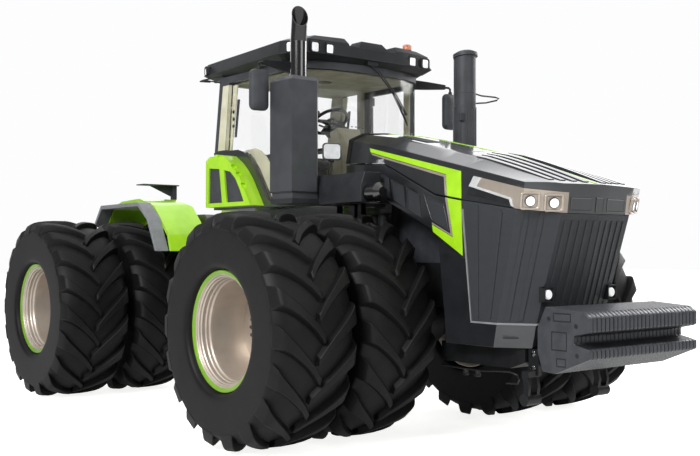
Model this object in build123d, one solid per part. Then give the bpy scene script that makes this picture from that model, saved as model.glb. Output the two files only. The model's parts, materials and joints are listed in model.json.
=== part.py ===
"""Articulated four-wheel-drive farm tractor with twin wheels on both axles.

Millimetres. +X is forward, +Y is the tractor's left, +Z is up. The pieces are laid out
with X = 0 on the articulation pivot, midway between the axles, and Z = 0 on the ground.
write_parts() then shifts them so that the origin is at the middle of the overall length.
"""

import os
from math import atan2, cos, degrees, pi, radians, sin, tan

from build123d import *

# ---------------------------------------------------------------- driving dimensions
wheelbase = 4320
axle_height = 1042             # loaded height of the hub centre
tyre_radius = 1042             # over the lugs
tyre_width = 798
inner_wheel_y = 1015           # middle of the inner tyre of a pair
outer_wheel_y = 1906           # middle of the outer tyre of a pair
front_end_x = 4918             # front face of the weights
drawbar_reach = 860            # of the drawbar past the rear frame
fit_clearance = 0.05           # radial, for pins and spindles
seat_gap = 0.3                 # between a piece and what it rests on, across two bodies

front_axle_x = wheelbase / 2
rear_axle_x = -wheelbase / 2

# tyres and rims
sidewall_radius = 885          # smooth sidewall, inside the lugs
lug_count = 18                 # lugs on each half of a tread
lug_depth = 58                 # at the middle of the tread
shoulder_drop = 42             # of a lug's outer end below its nose
lug_end_inset = 38             # of a lug's outer end from the sidewall
lug_sweep = 0.37               # angle from a lug's nose to its outer end, in radians
bead_toe = 12                   # between a tyre's bead and the rim flange
bead_radius = 484
bead_half_width = 323
rim_flange_radius = 528
rim_gap = 0.5                  # between a rim and its tyre
rim_wall = 16
disc_wall = 24
hub_radius = 255
axle_tube_radius = 150
spindle_radius = 100
hub_inner_y = 700              # where the turning hub meets the fixed axle
inner_disc_y = 1190
outer_disc_y = 1780

# frames and pivot
rail_inner_y = 300
rail_outer_y = 380
rail_bottom_z = axle_height + 178
rail_top_z = rail_bottom_z + 400
pivot_pin_radius = 55
pivot_barrel_radius = 120
pivot_barrel_bottom_z = rail_bottom_z - 360
pivot_barrel_top_z = rail_bottom_z + 360
fork_plate = 45
fork_gap = 5
engine_bottom_z = rail_bottom_z + 80
frame_end_x = 350              # end of each frame, from the pivot
rear_frame_end_x = rear_axle_x - 940
rear_end_x = rear_frame_end_x - drawbar_reach

# steering cylinders, from the front frame to the rear frame
cylinder_z = rail_bottom_z - 110
cylinder_front_x = 900
cylinder_rear_x = -650
cylinder_y = 500
barrel_radius = 62
rod_radius = 34
barrel_length = 950
rod_length = 1000
eye_radius = 62
eye_height = 90
eye_pin_radius = 30
lug_plate = 25

# cab
cab_floor_z = 2250
cab_glass_top_z = 3690
cab_rear_x = -470
cab_rear_wall_z = 2850
glass = 8
roof_bottom_z = cab_glass_top_z
roof_widest_z = roof_bottom_z + 60
roof_edge_z = roof_bottom_z + 195
sill_top_z = 2500
b_pillar_x = 190
roof_lamp_z = 3800
# columns: x, y of each front roof lamp
roof_lamp_places = [(1415, 560), (1415, 745)]
roof_corner = [(1100, 985), (1400, 840)]     # ends of the roof's cut corner
corner_lamp_x = 1235
door_gap = 6
door_stile = 55
door_hinge_x = 328
door_hinge_y = 850
door_hinge_heights = (2850, 3450)
wheel_x = 650
wheel_z = 3170
wheel_tilt = radians(35)

# hood and nose
hood_rear_x = 1620
hood_hinge_x = 1655
hood_hinge_z = 2875
nose_rear_x = 3540
hood_wall = 25
grille_wall = 35
grille_bottom_z = 1120
grille_top_z = 2200
skirt_bottom_z = 920
skirt_half_width = 590
nose_half_width = 600
lamp_radius = 45
fog_lamp_y = 407
fog_lamp_z = 1376
rib_height = 6                 # of the upright ribs on the nose
# columns: x, y of the nose's half plan, from its rear to its middle
nose_plan_low = [(nose_rear_x, nose_half_width), (3850, nose_half_width), (4140, 430), (4200, 0)]
nose_plan_high = [(nose_rear_x, 719), (4242, 736), (4472, 442), (4503, 0)]
# columns: side of the plan, then from and to as shares of it
nose_ribs_beside = [(0, 0.23, 0.31), (0, 0.66, 0.73), (1, 0.20, 0.30), (1, 0.53, 0.63)]
front_rib_count = 5            # on each side of the middle
# columns: x, y, z of a headlight's lens
headlight_places = [(4304, 682, 2134), (4401, 506, 2120)]
headlight_radius = 44
headlight_inner_y = 375
lid_edge_gap = 8
bay_depth = 8                  # of the mesh bays in the side panel

# stacks and platforms
guard_x = 1485
guard_y = -1035
guard_bottom_z = 2240
guard_top_z = 3440
pipe_radius = 82
pipe_wall = 6
pipe_x = guard_x + 62
pipe_bend_z = 3800
pipe_lean = 12                 # of the outlet, in degrees
pipe_turn = -20                # of the outlet away from straight ahead, in degrees
outlet_z = 4038                # middle of the slanted outlet
intake_x = 1890
intake_y = 900
intake_radius = 120
intake_top_z = 3838
intake_collar_z = 3270
deck_inner_y = 630
deck_rear_x = 1290
deck_top_z = 2475
deck_bottom_z = 2190
deck_outer_y = 870
right_deck_front_x = 2340
reservoir_radius = 92
step_rear_x = 380
# columns: x, z of the covers at the cab's lower rear corners
side_box_outline = [(-350, 2210), (-350, 2735), (-270, 2775), (-120, 2795), (30, 2775), (189, 2685),
                    (290, 2602), (380, 2510), (500, 2350), (600, 2210)]
side_box_fields = [
    [(-290, 2255), (-280, 2650), (-50, 2630), (10, 2255)],
    [(105, 2255), (45, 2612), (180, 2590), (290, 2510), (385, 2385), (465, 2255)],
]
# columns: x, z, slope in degrees of the notches in a cover's upper edge
side_box_notches = [(-200, 2784, -8), (-40, 2786, 8), (240, 2644, 40), (336, 2556, 45),
                    (440, 2430, 53)]
side_box_width = 170
side_box_field_y = 960
# columns: x, z of the curved lower rear edge of the cab's side windows, rear to front
door_curve_points = [(cab_rear_x, cab_rear_wall_z), (60, cab_rear_wall_z), (180, 2815), (290, 2740),
                     (390, 2635), (490, 2500), (665, cab_floor_z)]
step_width = 480
drawbar_bore_radius = 36
drawbar_top_z = 540
drawbar_thickness = 70
drawbar_width = 150
belly_half_width = 450
tow_pin_x = 4085
tow_pin_z = 505
tow_pin_radius = 50
tow_pin_length = 140
weight_rear_x = 4395
weight_half_width = 702
weight_count = 28
weight_gap = 6                 # groove between two plates
weight_groove = 14             # its depth
rail_tube_radius = 14
mirror_y = 1306


def block(low, high):
    """Box between two corners."""
    size = [b - a for a, b in zip(low, high)]
    middle = [(a + b) / 2 for a, b in zip(low, high)]
    return Pos(*middle) * Box(*size)


def side_plate(outline, y_from, y_to):
    """Solid with an (x, z) outline, between two y values."""
    face = make_face(Polyline(*[(x, y_from, z) for x, z in outline], close=True))
    return extrude(face, amount=y_to - y_from, dir=(0, 1, 0))


def top_plate(outline, z_from, z_to):
    """Solid with an (x, y) outline, between two z values."""
    face = make_face(Polyline(*[(x, y, z_from) for x, y in outline], close=True))
    return extrude(face, amount=z_to - z_from, dir=(0, 0, 1))


def cross_plate(outline, x_from, x_to):
    """Solid with a (y, z) outline, between two x values."""
    face = make_face(Polyline(*[(x_from, y, z) for y, z in outline], close=True))
    return extrude(face, amount=x_to - x_from, dir=(1, 0, 0))


def rod_y(radius, x, z, y_from, y_to):
    """Round bar along Y."""
    place = Pos(x, (y_from + y_to) / 2, z) * Rot(90, 0, 0)
    return place * Cylinder(radius, abs(y_to - y_from))


def rod_x(radius, y, z, x_from, x_to):
    """Round bar along X."""
    place = Pos((x_from + x_to) / 2, y, z) * Rot(0, 90, 0)
    return place * Cylinder(radius, abs(x_to - x_from))


def rod_z(radius, x, y, z_from, z_to):
    """Round bar along Z."""
    return Pos(x, y, (z_from + z_to) / 2) * Cylinder(radius, z_to - z_from)


def mirrored(shape):
    """The same piece on the tractor's other side."""
    return mirror(shape, about=Plane.XZ)


def both_sides(shape):
    """A left piece and its mirror image, as one node."""
    return Part() + [shape, mirrored(shape)]


def lofted(sections):
    """Solid through flat closed sections, each a list of (x, y, z) points."""
    faces = [make_face(Polyline(*points, close=True)) for points in sections]
    return loft(faces, ruled=True)


# ---------------------------------------------------------------- wheels
def turned(profile, side, axle_x):
    """Solid of revolution about an axle, from (distance out, radius) points."""
    points = [(axle_x, side * out, axle_height + r) for out, r in profile]
    face = make_face(Polyline(*points, close=True))
    return revolve(face, axis=Axis((axle_x, 0, axle_height), (0, 1, 0)))


def spot(y, radius, angle):
    """Point at a radius and an angle round the hub line."""
    return Vector(radius * cos(angle), y, radius * sin(angle))


def lug_turn(share):
    """How far a lug has swept at a share of the half width, from its nose."""
    return lug_sweep * share ** 0.82


def tread_half(out, stagger):
    """Flat faces of one half of a lugged tyre, with the ring of its bead."""
    half, pitch = tyre_width / 2, 2 * pi / lug_count
    floor_radius = tyre_radius - lug_depth
    end_radius = tyre_radius - shoulder_drop
    # columns: share of the half width, radius, half length along the tread
    mid, mid_radius, mid_half = 0.5, tyre_radius - 5, 52
    end_half, foot_half = 82, 94
    end_y, mid_y = out * half, out * mid * half
    inset_y = out * (half - lug_end_inset)
    faces, bead = [], []
    for k in range(lug_count):
        nose, after = (k + stagger) * pitch, (k + stagger + 1) * pitch
        foot, tip = spot(0, floor_radius, nose), spot(0, tyre_radius, nose)
        mids = [spot(mid_y, mid_radius, nose + lug_turn(mid) + d * mid_half / mid_radius)
                for d in (-1, 1)]
        ends = [spot(inset_y, end_radius, nose + lug_turn(1) + d * end_half / end_radius)
                for d in (-1, 1)]
        feet = [spot(end_y, sidewall_radius, nose + lug_turn(1) + d * foot_half / sidewall_radius)
                for d in (-1, 1)]
        next_foot = spot(end_y, sidewall_radius, after + lug_turn(1) - foot_half / sidewall_radius)
        faces += [(tip, mids[0], mids[1]), (mids[0], ends[0], ends[1]), (mids[0], ends[1], mids[1])]
        for i in (0, 1):
            faces += [(foot, tip, mids[i]), (foot, mids[i], feet[i]), (mids[i], ends[i], feet[i])]
        hollow = spot(0.55 * end_y, floor_radius - 10, nose + pitch / 2 + lug_turn(0.55))
        edge = [foot, spot(0, floor_radius, nose + pitch / 2), spot(0, floor_radius, after),
                next_foot, feet[1]]
        faces += [(edge[i], edge[(i + 1) % 5], hollow) for i in range(5)]
        faces += [(feet[0], ends[0], ends[1]), (feet[0], ends[1], feet[1])]
        bead.append((feet, next_foot))
    return faces, bead


def lugged_tyre():
    """Tyre about the origin with its axis along Y, its lugs in a staggered chevron."""
    pitch = 2 * pi / lug_count
    bore = bead_radius / cos(pitch / 2)
    y = bead_half_width - bead_toe
    faces, rings = [], []
    for out, stagger in ((1, 0), (-1, 0.5)):
        half_faces, bead = tread_half(out, stagger)
        faces += half_faces
        ring = [spot(out * y, bore, k * pitch + lug_turn(1)) for k in range(lug_count)]
        for k, (feet, next_foot) in enumerate(bead):
            here, ahead = ring[k], ring[(k + 1) % lug_count]
            faces += [(here, feet[0], feet[1]), (here, feet[1], ahead), (ahead, feet[1], next_foot)]
        rings.append(ring)
    for k in range(lug_count):
        ahead = (k + 1) % lug_count
        faces += [(rings[0][k], rings[0][ahead], rings[1][k]),
                  (rings[1][k], rings[0][ahead], rings[1][ahead])]
    return Solid(Shell([Face(Wire.make_polygon(corners)) for corners in faces]))


def placed_tyres(side, axle_x):
    """The two tyres of one end of an axle."""
    pair = [Pos(axle_x, middle, axle_height) * tyre_form for middle in (inner_wheel_y, outer_wheel_y)]
    left = Part() + pair
    return left if side > 0 else mirrored(left)


def rim(middle, disc_y, side, axle_x):
    """Dished rim: a barrel with two flanges and a disc that bolts to the hub."""
    seat = bead_radius - rim_gap
    edge = bead_half_width + 12
    well = seat - 45
    profile = [
        (middle - edge, rim_flange_radius),
        (middle - bead_half_width - rim_gap, rim_flange_radius),
        (middle - bead_half_width - rim_gap, seat),
        (middle - 190, seat),
        (middle - 150, well),
        (middle + 150, well),
        (middle + 190, seat),
        (middle + bead_half_width + rim_gap, seat),
        (middle + bead_half_width + rim_gap, rim_flange_radius),
        (middle + edge, rim_flange_radius),
        (middle + edge, seat - rim_wall),
        (middle + 190 + rim_wall, seat - rim_wall),
        (middle + 150 + rim_wall, well - rim_wall),
        (middle - 150 - rim_wall, well - rim_wall),
        (middle - 190 - rim_wall, seat - rim_wall),
        (middle - edge, seat - rim_wall),
    ]
    disc = [
        (disc_y - disc_wall / 2, hub_radius - 60),
        (disc_y + disc_wall / 2, hub_radius - 60),
        (disc_y + disc_wall / 2, well - rim_wall + 8),
        (disc_y - disc_wall / 2, well - rim_wall + 8),
    ]
    return turned(profile, side, axle_x) + turned(disc, side, axle_x)


def hub(side, axle_x):
    """Turning hub and spacer drum that carry both rims of a pair."""
    face_in = inner_disc_y + disc_wall / 2
    face_out = outer_disc_y - disc_wall / 2
    drum = [
        (hub_inner_y, 0),
        (hub_inner_y, hub_radius - 40),
        (inner_disc_y - disc_wall / 2, hub_radius),
        (inner_disc_y - disc_wall / 2, hub_radius - 60),
        (face_in, hub_radius - 60),
        (face_in, hub_radius),
        (face_out, hub_radius),
        (face_out, hub_radius - 60),
        (outer_disc_y + disc_wall / 2, hub_radius - 60),
        (outer_disc_y + disc_wall / 2 + 60, hub_radius - 110),
        (outer_disc_y + disc_wall / 2 + 60, 0),
    ]
    bore = rod_y(spindle_radius + fit_clearance, axle_x, axle_height,
                 side * (hub_inner_y - 5), side * (inner_disc_y - 80))
    return turned(drum, side, axle_x) - bore


def axle(axle_x):
    """Fixed axle housing with a spindle at each end, bolted under the rails."""
    housing = turned([(-280, 0), (-280, 170), (-140, 250), (140, 250), (280, 170), (280, 0)],
                     1, axle_x)
    saddle = block((axle_x - 210, -rail_outer_y, rail_bottom_z - 60),
                   (axle_x + 210, rail_outer_y, rail_bottom_z))
    pedestal = block((axle_x - 150, -260, axle_height - 60), (axle_x + 150, 260, rail_bottom_z - 60))
    tube = rod_y(axle_tube_radius, axle_x, axle_height, -hub_inner_y + 5, hub_inner_y - 5)
    spindle_end = inner_disc_y - 90
    spindle = rod_y(spindle_radius, axle_x, axle_height, -spindle_end, spindle_end)
    return housing + saddle + pedestal + tube + spindle


# ---------------------------------------------------------------- frames
def rails(x_from, x_to):
    left = block((x_from, rail_inner_y, rail_bottom_z), (x_to, rail_outer_y, rail_top_z))
    return left + mirrored(left)


def front_frame():
    rail_front_x = 4100
    frame = rails(frame_end_x, rail_front_x)
    for x in (1400, 3000, rail_front_x - 100):
        frame += block((x, -rail_inner_y, rail_bottom_z), (x + 100, rail_inner_y, engine_bottom_z))
    frame += cylinder_lugs(cylinder_front_x) + cylinder_pins(cylinder_front_x)
    return frame + hood_hinge_frame() + nose_brackets()


def nose_brackets():
    """Plates from under the rails out to the nose skirt's inner faces."""
    top, low = grille_bottom_z, grille_bottom_z - 100
    inside = nose_half_width - grille_wall - seat_gap
    lean = (nose_half_width - skirt_half_width) / (grille_bottom_z - skirt_bottom_z)
    plate = [(rail_inner_y, rail_bottom_z), (rail_outer_y, rail_bottom_z), (inside, top),
             (inside - lean * (top - low), low), (inside - 60, low),
             (rail_inner_y, rail_bottom_z - 60)]
    return both_sides(cross_plate(plate, 3300, 3312) + cross_plate(plate, 3700, 3712))


def pivot_fork():
    """Closing plate of the front frame, with the two arms and the pin of the pivot."""
    top = pivot_barrel_top_z + fork_gap
    low = pivot_barrel_bottom_z - fork_gap - fork_plate
    arm = [(0, 140), (frame_end_x, 240), (frame_end_x, -240), (0, -140)]
    fork = block((frame_end_x, -rail_inner_y, rail_bottom_z),
                 (frame_end_x + 100, rail_inner_y, rail_top_z))
    fork += block((frame_end_x, -240, low), (frame_end_x + 100, 240, rail_bottom_z))
    for z in (low, top):
        fork += top_plate(arm, z, z + fork_plate) + rod_z(140, 0, 0, z, z + fork_plate)
    return fork + rod_z(pivot_pin_radius, 0, 0, low - 20, top + fork_plate + 20)


def hood_hinge_frame():
    """Hoop on the rails behind the engine, with a pin each side for the lid."""
    x0, x1 = hood_hinge_x - 30, hood_hinge_x + 30
    post = block((x0, rail_inner_y, rail_top_z), (x1, rail_inner_y + 60, 2760))
    bar = block((x0, 0, 2700), (x1, rail_inner_y, 2760))
    lug = block((hood_hinge_x - 18, 150, 2760), (hood_hinge_x + 18, 190, hood_hinge_z + 14))
    pin = rod_y(12, hood_hinge_x, hood_hinge_z, 190, 225)
    return both_sides(post + bar + lug + pin)


def hood_hinge_plates():
    """Plates under the lid's rear edge that turn on the hoop's pins."""
    low, high = hood_hinge_z - 25, hood_hinge_z + 35
    plate = side_plate([(hood_hinge_x - 25, low), (hood_hinge_x + 25, low), (1780, 2845),
                        (1780, 2895), (hood_hinge_x - 25, high)], 190 + seat_gap, 215)
    return both_sides(plate - rod_y(12 + fit_clearance, hood_hinge_x, hood_hinge_z, 150, 260))


def cylinder_lugs(x):
    """Two plates across the frame that hold a cylinder eye at each end."""
    half = cylinder_y + eye_radius
    gap = eye_height / 2 + seat_gap
    lugs = block((x - 70, -200, cylinder_z - gap - lug_plate), (x + 70, 200, rail_bottom_z))
    lugs += block((x - 70, -rail_inner_y, rail_bottom_z), (x + 70, rail_inner_y, rail_bottom_z + 60))
    for z in (cylinder_z - gap - lug_plate, cylinder_z + gap):
        lugs += block((x - 70, -half, z), (x + 70, half, z + lug_plate))
    return lugs


def cylinder_pins(x):
    """Pins through the two plates, one for each cylinder eye."""
    reach = eye_height / 2 + seat_gap + lug_plate
    return both_sides(rod_z(eye_pin_radius, x, cylinder_y, cylinder_z - reach, cylinder_z + reach))


def rear_frame():
    end = rear_frame_end_x
    frame = rails(end, -frame_end_x)
    for x in (-frame_end_x - 100, -1300, end + 400, end):
        frame += block((x, -rail_inner_y, rail_bottom_z), (x + 100, rail_inner_y, rail_top_z))
    frame += block((-frame_end_x - 100, -260, pivot_barrel_bottom_z + 60),
                   (-frame_end_x, 260, rail_bottom_z))
    web = block((-frame_end_x, -90, pivot_barrel_bottom_z + 60), (0, 90, pivot_barrel_top_z - 60))
    barrel = rod_z(pivot_barrel_radius, 0, 0, pivot_barrel_bottom_z, pivot_barrel_top_z)
    bore = rod_z(pivot_pin_radius + fit_clearance, 0, 0, pivot_barrel_bottom_z - 1,
                 pivot_barrel_top_z + 1)
    frame += web + barrel
    frame -= bore
    return frame + cylinder_lugs(cylinder_rear_x) + drawbar_hangers()


def drawbar_hangers():
    """Two brackets under the rear frame: a front one to bolt to, and a guide at the rear."""
    end = rear_frame_end_x
    top, low, half = drawbar_top_z, drawbar_top_z - drawbar_thickness, drawbar_width / 2
    hangers = block((end + 400, -110, top), (end + 500, 110, rail_bottom_z))
    hangers += block((end, -160, top + 20), (end + 100, 160, rail_bottom_z))
    hangers += block((end - 100, -200, top), (end + 200, 200, top + 20))
    hangers += block((end - 100, -200, low - 20), (end + 200, 200, low))
    return hangers + both_sides(block((end - 100, half, low - 20), (end + 200, 200, top + 20)))


def cylinder_barrel(side):
    y = side * cylinder_y
    body = rod_x(barrel_radius, y, cylinder_z, cylinder_front_x - barrel_length,
                 cylinder_front_x - 90)
    neck = block((cylinder_front_x - 90, y - 35, cylinder_z - eye_height / 2),
                 (cylinder_front_x, y + 35, cylinder_z + eye_height / 2))
    eye = rod_z(eye_radius, cylinder_front_x, y, cylinder_z - eye_height / 2,
                cylinder_z + eye_height / 2)
    hollow = rod_x(rod_radius + 12, y, cylinder_z, cylinder_front_x - barrel_length + 60,
                   cylinder_front_x - 150)
    gland = rod_x(rod_radius + fit_clearance, y, cylinder_z,
                  cylinder_front_x - barrel_length - 1,
                  cylinder_front_x - barrel_length + 80)
    bore = rod_z(eye_pin_radius + fit_clearance, cylinder_front_x, y, cylinder_z - eye_height,
                 cylinder_z + eye_height)
    return body + neck + eye - hollow - gland - bore


def cylinder_rod(side):
    y = side * cylinder_y
    bar = rod_x(rod_radius, y, cylinder_z, cylinder_rear_x + 30,
                cylinder_rear_x + rod_length)
    eye = rod_z(eye_radius, cylinder_rear_x, y, cylinder_z - eye_height / 2,
                cylinder_z + eye_height / 2)
    return bar + eye


# ---------------------------------------------------------------- nose and hood
def wrap(half_outline):
    """Closed outline from its left half, listed from the rear to the middle of the front."""
    right = [(x, -y, z) for x, y, z in reversed(half_outline) if y > 0]
    return half_outline + right


def plan(points, z):
    """Half outline at one height, from (x, y) points."""
    return wrap([(x, y, z) for x, y in points])


def hull_between(low_z, low, high_z, high):
    """Solid between two plan outlines at two heights."""
    return lofted([plan(low, low_z), plan(high, high_z)])


def nose_spot(part, share, height):
    """Point on the left of the nose, at a share of one side of its plan and of its height."""
    low, high = (Vector(*[a + (b - a) * share for a, b in zip(table[part], table[part + 1])], z)
                 for table, z in ((nose_plan_low, grille_bottom_z), (nose_plan_high, grille_top_z)))
    return low + (high - low) * height


def nose_rib(part, start, end, top):
    """Upright rib on one side of the nose, with its back sunk in the wall."""
    middle = (start + end) / 2
    (xa, ya), (xb, yb) = nose_plan_low[part], nose_plan_low[part + 1]
    upward = nose_spot(part, middle, 1) - nose_spot(part, middle, 0)
    out = Vector(xa - xb, ya - yb, 0).cross(upward).normalized()
    rings = []
    for height in (0.03, top):
        left, right = nose_spot(part, start, height), nose_spot(part, end, height)
        corners = (left + out * rib_height, right + out * rib_height,
                   right - out * rib_height, left - out * rib_height)
        rings.append([tuple(corner) for corner in corners])
    return lofted(rings)


def grille():
    """Leaning, bowed grille housing with upright ribs, cut along the lid's lower edge."""
    wall = grille_wall
    outer = hull_between(grille_bottom_z, nose_plan_low, grille_top_z, nose_plan_high)
    shrink = [(0, wall), (wall, wall), (wall, wall), (wall, 0)]
    inner = hull_between(
        grille_bottom_z, [(x - dx, y - dy) for (x, y), (dx, dy) in zip(nose_plan_low, shrink)],
        grille_top_z, [(x - dx, y - dy) for (x, y), (dx, dy) in zip(nose_plan_high, shrink)])
    above_lid_edge = side_plate(
        [(3400, 2186), (4600, 2014), (4600, 2600), (3400, 2600)], -900, 900)
    above_ribs = Pos(0, 0, -lid_edge_gap) * above_lid_edge
    ribs = [nose_rib(part, start, end, 0.88) for part, start, end in nose_ribs_beside]
    for k in range(front_rib_count):
        middle = 1 - (k + 0.5) / (front_rib_count + 0.3)
        ribs.append(nose_rib(2, middle - 0.03, middle + 0.03, 0.80))
    shell = outer - inner - above_lid_edge
    lamp_space = block((4000, fog_lamp_y - 75, fog_lamp_z - 80),
                       (4400, fog_lamp_y + 75, fog_lamp_z + 80))
    for rib in ribs:
        shell += both_sides(rib - lamp_space - above_ribs)
    return shell - both_sides(rod_x(lamp_radius, fog_lamp_y, fog_lamp_z, 4100, 4400))


def fog_lamps():
    lamps = rod_x(lamp_radius - seat_gap, fog_lamp_y, fog_lamp_z, 4190, 4262)
    return both_sides(lamps)


def nose_skirt():
    """Frame cover under the grille, with a cheek up each side."""
    wall, low_y, high_y = grille_wall, skirt_half_width, nose_half_width
    outer = hull_between(skirt_bottom_z,
                         [(3210, low_y), (3800, low_y), (4080, 420), (4130, 0)],
                         grille_bottom_z,
                         [(3205, high_y), (3850, high_y), (4140, 430), (4200, 0)])
    inner = hull_between(skirt_bottom_z,
                         [(3210, low_y - wall), (3800 - wall, low_y - wall),
                          (4080 - wall, 420 - wall), (4130 - wall, 0)],
                         grille_bottom_z,
                         [(3205, high_y - wall), (3850 - wall, high_y - wall),
                          (4140 - wall, 430 - wall), (4200 - wall, 0)])
    skirt = outer - inner
    cheek = lofted([
        [(3205, high_y, grille_bottom_z), (nose_rear_x, high_y, grille_bottom_z),
         (nose_rear_x, high_y - wall, grille_bottom_z), (3205, high_y - wall, grille_bottom_z)],
        [(3165, 650, 1890), (nose_rear_x, 652, 1660),
         (nose_rear_x, 652 - wall, 1660), (3165, 650 - wall, 1890)],
    ])
    return skirt + both_sides(cheek)


def hood_side():
    """Fixed side panel under the lid, with a row of sunk bays for its mesh."""
    rear, front = hood_rear_x, nose_rear_x
    outline = [(rear, 2400), (rear, 2595), (2300, 2560), (3130, 2225), (front, 2155),
               (front, 1665), (3165, 1895), (2000, 2345)]
    slab = side_plate(outline, 300, 900)
    outer_face = [(rear, 500), (2300, 572), (3140, 655), (front, 695)]

    def skin(depth):
        return top_plate(outer_face + [(x, y - depth) for x, y in reversed(outer_face)], 1500, 2700)

    panel = slab & skin(hood_wall)
    # corners as (x, z): top rear, top front, low front, low rear
    bays = [[(2965, 2240), (3262, 2150), (3345, 1905), (3085, 2010)]]
    for x in (2190, 2440, 2690):
        top, low = 2500 - (x - 2190) * 0.37, 2318 - (x - 2190) * 0.386
        bays.append([(x, top), (x + 210, top - 78), (x + 240, low - 93), (x + 30, low)])
    for corners in bays:
        panel -= side_plate(corners, 300, 900) & skin(bay_depth)
    return panel


def hood_section(x, shoulder, crown, ridge_z, foot):
    """Half section of the lid at one x: foot, shoulder and crown are (y, z)."""
    half = [(x, *foot), (x, *shoulder), (x, *crown), (x, 0, ridge_z)]
    return half + [(x, -y, z) for _, y, z in reversed(half[:-1])]


def hood_lid(offset):
    """Outer form of the lid, or with an offset the hollow under it."""
    # columns: x, foot y, foot z, shoulder y, shoulder z, crown y, crown z, ridge z
    table = [
        (hood_rear_x, 500, 2610, 460, 2850, 300, 2925, 2950),
        (2300, 572, 2575, 530, 2735, 360, 2825, 2862),
        (3140, 655, 2240, 612, 2545, 420, 2635, 2680),
        (3540, 695, 2170, 665, 2458, 450, 2548, 2585),
        (4500, 740, 2032, 770, 2240, 520, 2262, 2278),
    ]
    sections = []
    for x, fy, fz, sy, sz, cy, cz, ridge in table:
        low = offset * 8 if offset else 0
        sections.append(hood_section(x, (sy - offset, sz - offset), (cy - offset * 0.6, cz - offset),
                                     ridge - offset, (fy - offset, fz - low)))
    form = lofted(sections)
    low = [(1000, 900), (4135, 900), (4135, 730), (4380, 430), (4415, 0)]
    high = [(1000, 900), (4330, 900), (4330, 790), (4470, 460), (4490, 0)]
    nose = hull_between(1700, low, 2400, high) + hull_between(2400, high, 3100, high)
    if offset:
        nose = Pos(-40, 0, 0) * nose
    return form & nose


def headlight_zones():
    """Space of the lamp clusters: a strip along each flank that widens round the nose."""
    outline = [(3617, 2299), (3663, 2369), (4260, 2242), (4600, 2180), (4600, 2030), (4394, 2016),
               (4224, 2055), (4133, 2099), (4130, 2163)]
    zone = side_plate(outline, headlight_inner_y, 900)
    return both_sides(zone)


def headlight_bars(radius):
    """Round bars along the line of sight of each headlight, for its lens or its recess."""
    bars = Part()
    for x, y, z in headlight_places:
        bars += Pos(x, y, z) * Rot(0, 0, 29) * Rot(0, 102, 0) * Cylinder(radius, 28)
    return both_sides(bars)


# ---------------------------------------------------------------- cab
def cab_bow(setback):
    """Half plan of the bowed front of the cab, moved back by a setback."""
    return [(1200 - setback, 800 - setback * 0.4), (1340 - setback, 480), (1395 - setback, 0)]


def bow_plate(outer_setback, inner_setback, z_from, z_to):
    outer = cab_bow(outer_setback)
    inner = cab_bow(inner_setback)
    half = outer + [(x, y) for x, y in reversed(inner)]
    left = top_plate(half, z_from, z_to)
    return left + mirrored(left)


def door_curve(gap):
    """Curved lower rear edge of the cab's side opening, drawn in by a gap."""
    return [(x + gap * 0.7, z + gap * 0.7) for x, z in door_curve_points]


def curve_height(curve, x):
    """Height of the curve at one x."""
    for (xa, za), (xb, zb) in zip(curve, curve[1:]):
        if xa <= x <= xb:
            return za + (zb - za) * (x - xa) / (xb - xa)


def cab_base():
    """Floor, lower walls and the beams that stand on the frame rails."""
    floor = top_plate([(cab_rear_x, 830), (1200, 830), (1200, 800), (1340, 480), (1395, 0),
                       (1340, -480), (1200, -800), (1200, -830), (cab_rear_x, -830)],
                      cab_floor_z - 60, cab_floor_z)
    wall = side_plate([(cab_rear_x, cab_floor_z)] + door_curve(0), 770, 830)
    front = bow_plate(0, 60, cab_floor_z, sill_top_z)
    rear = block((cab_rear_x, -770, cab_floor_z), (cab_rear_x + 60, 770, cab_rear_wall_z))
    beam = block((-300, rail_inner_y, 2060), (1300, rail_outer_y, cab_floor_z - 60))
    for x in (frame_end_x, 1180):
        beam += block((x, rail_inner_y, rail_top_z), (x + 100, rail_outer_y, 2060))
    return floor + both_sides(wall) + front + rear + both_sides(beam)


def cab_frame():
    top = cab_glass_top_z
    ring = top - 75
    a_pillar = block((1060, 760, cab_floor_z), (1140, 830, top))
    b_pillar = block((b_pillar_x, 760, cab_rear_wall_z), (b_pillar_x + 120, 830, top))
    c_pillar = side_plate([(-450, cab_rear_wall_z), (-210, cab_rear_wall_z), (-120, top),
                           (-330, top)], 760, 830)
    side_beam = block((-330, 760, ring), (1140, 830, top))
    rear_beam = block((-330, -760, ring), (-260, 760, top))
    header = bow_plate(0, 70, ring, top)
    frame = both_sides(a_pillar + c_pillar + side_beam) + rear_beam + b_pillar + header
    frame += block((1060, 760, ring), (1200, 800, top)) + block((1060, -800, ring), (1200, -760, top))
    for z in door_hinge_heights:
        frame += block((250, 830, z + 100 + seat_gap), (door_hinge_x + 12, 865, z + 125))
        frame += rod_z(8, door_hinge_x, door_hinge_y, z + 20, z + 110)
    return frame


def fixed_glass():
    ring = cab_glass_top_z - 75
    inset = 790
    sill = cab_rear_wall_z
    slant = -210 + 90 * (ring - sill) / (cab_glass_top_z - sill)
    right = side_plate([(-210, sill)] + door_curve(0)[1:] +
                       [(1060, cab_floor_z), (1060, ring), (slant, ring)], -inset, -inset - glass)
    quarter = side_plate([(-210, sill), (b_pillar_x, sill), (b_pillar_x, ring), (slant, ring)],
                         inset, inset + glass)
    rear = lofted([
        [(-420, -760, sill), (-420, 760, sill), (-420 + glass, 760, sill),
         (-420 + glass, -760, sill)],
        [(-300, -760, ring), (-300, 760, ring), (-300 + glass, 760, ring),
         (-300 + glass, -760, ring)],
    ])
    return Part() + [right, quarter, rear]


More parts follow.
